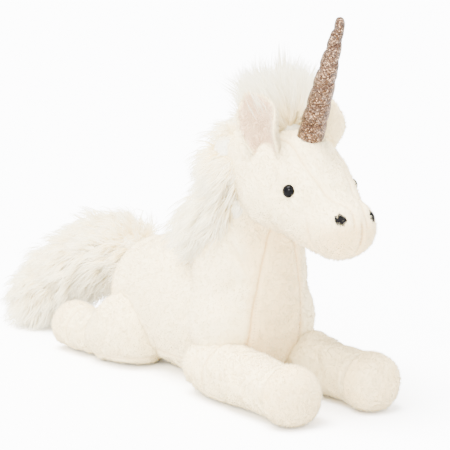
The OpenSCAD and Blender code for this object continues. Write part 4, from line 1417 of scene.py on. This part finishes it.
@dataclass
class Horn:
    """The glitter horn, drawn in by a thread wound round it."""

    wardrobe: Wardrobe
    base: Point = (0, -131.0, 203.0)
    lean: float = 22.0
    length: float = 91.5
    foot: float = 9.5
    top: float = 3.3
    belly: float = 1.1
    turns: float = 6.0

    def frame(self) -> Matrix:
        """The horn's own frame, +Z to its tip."""
        return Matrix.Translation(self.base) @ Matrix.Rotation(math.radians(self.lean), 4, "X")

    def radius(self, z: float) -> float:
        """Half thickness of the horn at a height."""
        t = max(0.0, min(1.0, z / (self.length - self.top)))
        return self.foot + (self.top - self.foot) * t + self.belly * math.sin(math.pi * t)

    def groove(self, z: float, turn: float) -> float:
        """From 0 to 1, how near a place is to the winding."""
        pitch = self.length / self.turns
        off = (z / pitch - turn / (2 * math.pi)) % 1.0
        return math.exp(-((min(off, 1 - off) * pitch / 2.3) ** 2))

    def build(self) -> None:
        """Makes the horn and its winding."""
        w, top = self.wardrobe, self.top
        bm = bmesh.new()
        profile = [(self.radius(z), z) for z in np.linspace(-5, self.length - top, 100)]
        profile += [(top * math.cos(a), self.length - top + top * math.sin(a))
                    for a in np.linspace(0.2, math.pi / 2, 7)]
        start = bm.verts.new((0, 0, -5))
        chain = [start] + [bm.verts.new((max(r, 0.0), 0, z)) for r, z in profile]
        chain[-1].co.x = 0
        edges = [bm.edges.new(pair) for pair in zip(chain, chain[1:])]
        bmesh.ops.spin(bm, geom=chain + edges, cent=(0, 0, 0), axis=(0, 0, 1), angle=2 * math.pi, steps=72,
                       use_merge=True)
        bmesh.ops.remove_doubles(bm, verts=bm.verts, dist=0.004)
        place = self.frame()
        for v in bm.verts:
            turn, r = math.atan2(v.co.y, v.co.x), math.hypot(v.co.x, v.co.y)
            if r > 0.3:
                puff = 0.25 - 1.0 * self.groove(v.co.z, turn) * min(1, r / 4) + 0.3 * noise.noise(v.co / 5)
                v.co.x, v.co.y = v.co.x * (r + puff) / r, v.co.y * (r + puff) / r
            v.co = place @ v.co
        horn = to_object(bm, "horn_skin")
        horn.data.materials.append(w.glitter)
        pitch = self.length / self.turns
        t = np.linspace(0.25, self.turns - 0.75, 150)
        z = t * pitch
        r = np.array([self.radius(v) for v in z]) - 0.55
        local = np.stack([r * np.cos(2 * np.pi * t), r * np.sin(2 * np.pi * t), z, np.ones(len(t))], 1)
        path = (local @ np.array(place).T)[:, :3]
        thread = StrandKind(150, 6, pointed=False).grow("horn_winding", path[None], np.full((1, 150), 0.3),
                                                        np.array([0.5]))
        thread.data.materials.append(w.horn_thread)
        for piece in (horn, thread):
            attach(piece, "head")
        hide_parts("horn_cover", "horn_stuffing")
        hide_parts("horn_thread")
        LOG.info("horn")


@dataclass
class Face:
    """The nostrils, sewn on the head."""

    wardrobe: Wardrobe
    nostril: Point = (-13.0, -184.0, 149.3)
    spread: float = 4.3

    def build(self, head: bpy.types.Object) -> None:
        """Sews the nostrils on the head.

        Args:
            head: the skin of the head.
        """
        rng = np.random.default_rng(77)
        for side in Side:
            s, name = side.value, side.word
            _, spot, normal, _ = head.closest_point_on_mesh(Vector((-self.nostril[0] * s,
                                                                    *self.nostril[1:])) * MM)
            spot = spot / MM
            up = (Vector((0, 0, 1)) - normal * normal.z).normalized()
            across = up.cross(normal)
            rows = []
            for k in np.linspace(-1, 1, 21):
                half = (self.spread * (math.sqrt(max(0.0, 1 - (0.97 * k) ** 2)) + 0.05)
                        * (1 + 0.12 * rng.normal()))
                off = across * (self.spread * 0.95 * k)
                tilt = across * 0.25 * rng.normal()
                crown = 0.95 * math.sqrt(max(0.0, 1 - (0.9 * k) ** 2)) + 0.15
                rows.append([spot + off + (up * half + tilt) * u
                             + normal * (1.25 * crown * (1 - u * u) + 0.05) for u in np.linspace(-1, 1, 7)])
            paths = np.array(rows)
            pad = StrandKind(7, 6, pointed=False).grow(f"{name}_nostril_stitches", paths,
                                                       np.full(paths.shape[:2], 0.3), rng.random(21))
            pad.data.materials.append(self.wardrobe.black_stitch)
            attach(pad, "head")
            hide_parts(f"{name}_nostril")
        LOG.info("nostrils")


@dataclass
class Fur:
    """The mane, the forelock and the tail: long pile on woolly grounds."""

    wardrobe: Wardrobe

    def ground(self, name: str, lofts: Sequence[tuple], balls: Sequence[tuple],
               seed: float) -> bpy.types.Object:
        """Makes the woolly ground that a pile is rooted in.

        Args:
            name: its name.
            lofts: stations, back dome and front dome of each soft body in it.
            balls: centre, radii and turns of each ellipsoid in it.
            seed: picks its lumps.

        Returns:
            The ground.
        """
        bm = bmesh.new()
        for line, back, front in lofts:
            add_loft(bm, line, back, front, 24, 4)
        for ball in balls:
            add_ball(bm, *ball)
        made = to_object(bm, name)
        remeshed(made, 2.6, 3)
        p, n = points_of(made.data), normals_of(made.data)
        p = p + n * (1.6 * lumps(p, 9, seed) + 0.7 * lumps(p, 3.5, seed + 2))[:, None]
        p[:, 2] = np.maximum(p[:, 2], 2)
        place_points(made.data, p)
        made.data.materials.append(self.wardrobe.undercoat)
        return made

    def hang(self, body: str, nodes: Sequence[str], ground: bpy.types.Object,
             *piles: bpy.types.Object) -> None:
        """Hangs a ground and its piles on a body."""
        for piece in (ground, *piles):
            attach(piece, body)
        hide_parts(*nodes)
        LOG.info("%s with %s", ground.name, ", ".join(p.name for p in piles))

    def mane(self) -> None:
        """The mane down the neck, which falls over both shoulders."""
        w = self.wardrobe
        line = ((0, -33, 158, 12, 10, -52, 0), (0, -25, 138, 14, 12, -64, 0),
                (0, -19, 118, 15, 12, -66, 0), (0, -11, 103, 13, 9, -50, 0))
        on_outside = lambda p: (p[:, 1] > -36) | (np.abs(p[:, 0]) > 27 - 0.12 * (p[:, 1] + 30))
        piles = []
        sides = [((x * s, y, z), r, (t, 0, 0)) for s in (-1, 1)
                 for x, y, z, r, t in ((24, -60, 146, (12.8, 25, 18), -14),
                                       (24, -40, 130, (14, 23, 20), -30))]
        ground = self.ground("mane_ground", [(line, 8, 10)], sides, 21)

        def flow(p: np.ndarray) -> np.ndarray:
            side = np.clip(p[:, 0] / 14, -1, 1)[:, None]
            low = np.clip((136 - p[:, 2]) / 30, 0, 1)[:, None]
            return (side * np.array([0.35, 0, 0]) + np.array([-0.05, 0.6, -0.75])
                    + low * np.array([0, 0.25, 0.1]))

        for s, name in ((-1, "right"), (1, "left")):
            pile = Pile(27, stand=0.55, droop=0.5).grow(ground, f"mane_{name}_pile", 13500, 71 + s,
                                                        w.long_pile, flow,
                                                        lambda p: (p[:, 0] * s > -1) & on_outside(p))
            piles.append(pile)
        self.hang("torso", ["mane"], ground, *piles)

    def head_mane(self) -> None:
        """The mane on the back of the head."""
        w = self.wardrobe
        line = ((0, -40, 166, 13, 12, 60, 0), (0, -46, 181, 15, 12, 50, 0), (0, -62, 194, 15, 11, 24, 0),
                (0, -80, 199, 13, 9, 0, 0))
        sides = [((22 * s, -69, 177), (17.5, 23, 24), (-12, 0, 0)) for s in (-1, 1)]
        ground = self.ground("head_mane_ground", [(line, 8, 8)], sides, 22)

        def flow(p: np.ndarray) -> np.ndarray:
            side = np.clip(p[:, 0] / 14, -1, 1)[:, None]
            high = np.clip((p[:, 2] - 180) / 34, 0, 1)[:, None]
            return (side * np.array([0.25, 0, 0]) + np.array([-0.05, 0.8, -0.6]) * (1 - high)
                    + np.array([0, 0.95, 0.05]) * high)

        on_outside = lambda p: ((p[:, 2] > 156)
                                & ((p[:, 1] > -52) | (p[:, 2] > 198)
                                   | ((np.abs(p[:, 0]) > 31) & (p[:, 2] < 186))))
        piles = [Pile(22, stand=0.6, droop=0.45).grow(ground, f"head_mane_{name}_pile", 10500, 75 + s,
                                                      w.long_pile, flow,
                                                      lambda p: on_outside(p) & (p[:, 0] * s > -1))
                 for s, name in ((-1, "right"), (1, "left"))]
        self.hang("head", ["head_mane"], ground, *piles)

    def forelock(self) -> None:
        """The tuft between the ears, which stands up round the horn."""
        w = self.wardrobe
        ground = self.ground("forelock_ground", [],
                             [((0, -104, 203), (14, 11, 9), (-12, 0, 0)), ((0, -92, 206), (14, 13, 10))],
                             23)

        def flow(p: np.ndarray) -> np.ndarray:
            side = np.clip(p[:, 0] / 15, -1, 1)[:, None]
            return side * np.array([0.34, 0, 0]) + np.array([0.08, 0.2, 1.0])

        pile = Pile(40, stand=0.35, droop=0.0, wild=0.3, locks=200).grow(
            ground, "forelock_pile", 7000, 73, w.long_pile, flow,
            lambda p: (p[:, 2] > 203) & (p[:, 1] > -113))
        self.hang("head", ["forelock"], ground, pile)

    def tail(self) -> None:
        """The tail, which curls round towards the right hind hoof."""
        w = self.wardrobe
        line = ((0, 114, 82, 11, 10, 4, 180), (0, 125, 80, 15, 16, 4, 180), (-2, 145, 76, 20, 23, 0, 180),
                (-8, 173, 68, 22, 24, -16, 188),
                (-21, 198, 52, 21, 21, -34, 204), (-38, 213, 34, 18, 17, -52, 216),
                (-47, 217, 21, 12, 12, -66, 226))
        ground = self.ground("tail_ground", [(line, 6, 8)], [], 24)
        spine = np.array([s[:3] for s in line], float)
        ways = unit(np.gradient(spine, axis=0))

        def flow(p: np.ndarray) -> np.ndarray:
            near = np.argmin(np.linalg.norm(p[:, None] - spine[None], axis=2), axis=1)
            return ways[near] * 0.8

        grow = Pile(25, stand=0.85, droop=0.25, wild=0.3, locks=700)
        piles = [grow.grow(ground, f"tail_{name}_pile", 12500, seed, w.long_pile, flow, keep)
                 for name, seed, keep in (("near", 81, lambda p: p[:, 1] < 160),
                                          ("far", 82, lambda p: p[:, 1] >= 160))]
        self.hang("tail", ["tail_fur", "tail_dock"], ground, *piles)


class Studio:
    """The camera, the lights and the floor."""

    @staticmethod
    def camera() -> None:
        """Sets the camera to the product view."""
        lens = bpy.data.cameras.new("product_camera")
        lens.lens, lens.sensor_width, lens.clip_end = 131.98, 36, 20
        eye = link("product_camera", lens)
        eye.location = (-0.699, -1.07896, 0.3403)
        right = Vector((0.8348, -0.5505, 0))
        up = Vector((0.0937, 0.1420, 0.9855))
        back = Vector((-0.5425, -0.8227, 0.1701))
        eye.rotation_euler = Matrix((right, up, back)).transposed().to_euler()
        bpy.context.scene.camera = eye

    @staticmethod
    def light(name: str, at: Point, to: Point, size: float, power: float) -> None:
        """Adds a square area light that only shows in glossy surfaces.

        Args:
            name: its name.
            at: its place in metres.
            to: the place that it looks at.
            size: side of the square.
            power: its power in watts.
        """
        data = bpy.data.lights.new(name, "AREA")
        data.shape, data.size, data.energy = "SQUARE", size, power
        lamp = link(name, data)
        lamp.location = at
        lamp.rotation_euler = (Vector(to) - Vector(at)).to_track_quat("-Z", "Y").to_euler()
        lamp.visible_diffuse = False

    def build(self) -> None:
        """Makes the studio."""
        self.camera()
        world = bpy.data.worlds.new("studio")
        world.use_nodes = True
        tree = world.node_tree
        soft, white = tree.nodes["Background"], tree.nodes.new("ShaderNodeBackground")
        soft.inputs["Color"].default_value = (0.985, 0.99, 1, 1)
        soft.inputs["Strength"].default_value = 3.4
        white.inputs["Strength"].default_value = 24
        seen, pick = tree.nodes.new("ShaderNodeLightPath"), tree.nodes.new("ShaderNodeMixShader")
        tree.links.new(seen.outputs["Is Camera Ray"], pick.inputs[0])
        tree.links.new(soft.outputs[0], pick.inputs[1])
        tree.links.new(white.outputs[0], pick.inputs[2])
        tree.links.new(pick.outputs[0], tree.nodes["World Output"].inputs["Surface"])
        bpy.context.scene.world = world
        self.sun("key", (-0.28, 0.02, 1.0), 36, 16.0)
        self.sun("fill", (-1.0, -0.6, 0.5), 60, 4.0)
        self.light("left_catchlight", (-1.0, -1.1, 1.0), (0, -0.12, 0.15), 0.36, 110)
        self.light("right_catchlight", (0.3, -1.6, 0.9), (0, -0.12, 0.15), 0.26, 45)
        bm = bmesh.new()
        bmesh.ops.create_grid(bm, x_segments=2, y_segments=2, size=9000,
                              matrix=Matrix.Translation((0, 0, -0.4)))
        floor = to_object(bm, "floor")
        floor.data.materials.append(self.paper())

    @staticmethod
    def sun(name: str, way: Point, spread: float, power: float) -> None:
        """Adds a wide soft source that is as strong everywhere.

        Args:
            name: its name.
            way: the way from the toy to the source.
            spread: width of the source in degrees.
            power: its strength.
        """
        data = bpy.data.lights.new(name, "SUN")
        data.angle, data.energy, data.color = math.radians(spread), power, (1, 0.99, 0.975)
        lamp = link(name, data)
        lamp.rotation_euler = (-Vector(way)).to_track_quat("-Z", "Y").to_euler()

    @staticmethod
    def paper() -> bpy.types.Material:
        """Makes the white paper of the floor, which the lens sees brighter than it lights the toy."""
        material = bpy.data.materials.new("white_paper")
        material.use_nodes = True
        nodes = Nodes(material.node_tree)
        material.node_tree.nodes.remove(material.node_tree.nodes["Principled BSDF"])
        plain = nodes.add("ShaderNodeBsdfDiffuse", {"Color": (0.9, 0.905, 0.915, 1)})
        bright = nodes.add("ShaderNodeBsdfDiffuse", {"Color": (1.45, 1.465, 1.5, 1)})
        seen = nodes.add("ShaderNodeLightPath")
        pick = nodes.add("ShaderNodeMixShader",
                         {0: seen.outputs["Is Camera Ray"], 1: plain.outputs[0], 2: bright.outputs[0]})
        material.node_tree.links.new(pick.outputs[0],
                                     material.node_tree.nodes["Material Output"].inputs["Surface"])
        return material


def dress(wardrobe: Wardrobe) -> None:
    """Gives the carried-over CAD nodes their finishes."""
    finishes = {"belly_bead_pouch": wardrobe.pouch, "tail_core": wardrobe.pouch}
    for side in Side:
        finishes[f"{side.word}_eye"] = wardrobe.eye
        finishes[f"{side.word}_eye_washer"] = wardrobe.washer
    for node, finish in finishes.items():
        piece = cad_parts[node]
        piece.data.materials.clear()
        piece.data.materials.append(finish)


def main() -> None:
    """Builds the toy piece by piece and sets the studio round it."""
    logging.basicConfig(level=logging.INFO, format="%(name)s: %(message)s")
    Studio().build()
    wardrobe = Wardrobe()
    _, head = Body(wardrobe).build()
    for side in Side:
        FrontLeg(wardrobe, side).build()
        HindLeg(wardrobe, side).build()
        Ear(wardrobe, side).build()
    Horn(wardrobe).build()
    Face(wardrobe).build(head)
    fur = Fur(wardrobe)
    fur.mane()
    fur.head_mane()
    fur.forelock()
    fur.tail()
    dress(wardrobe)
    bpy.context.view_layer.update()


if __name__ == "__main__":
    main()
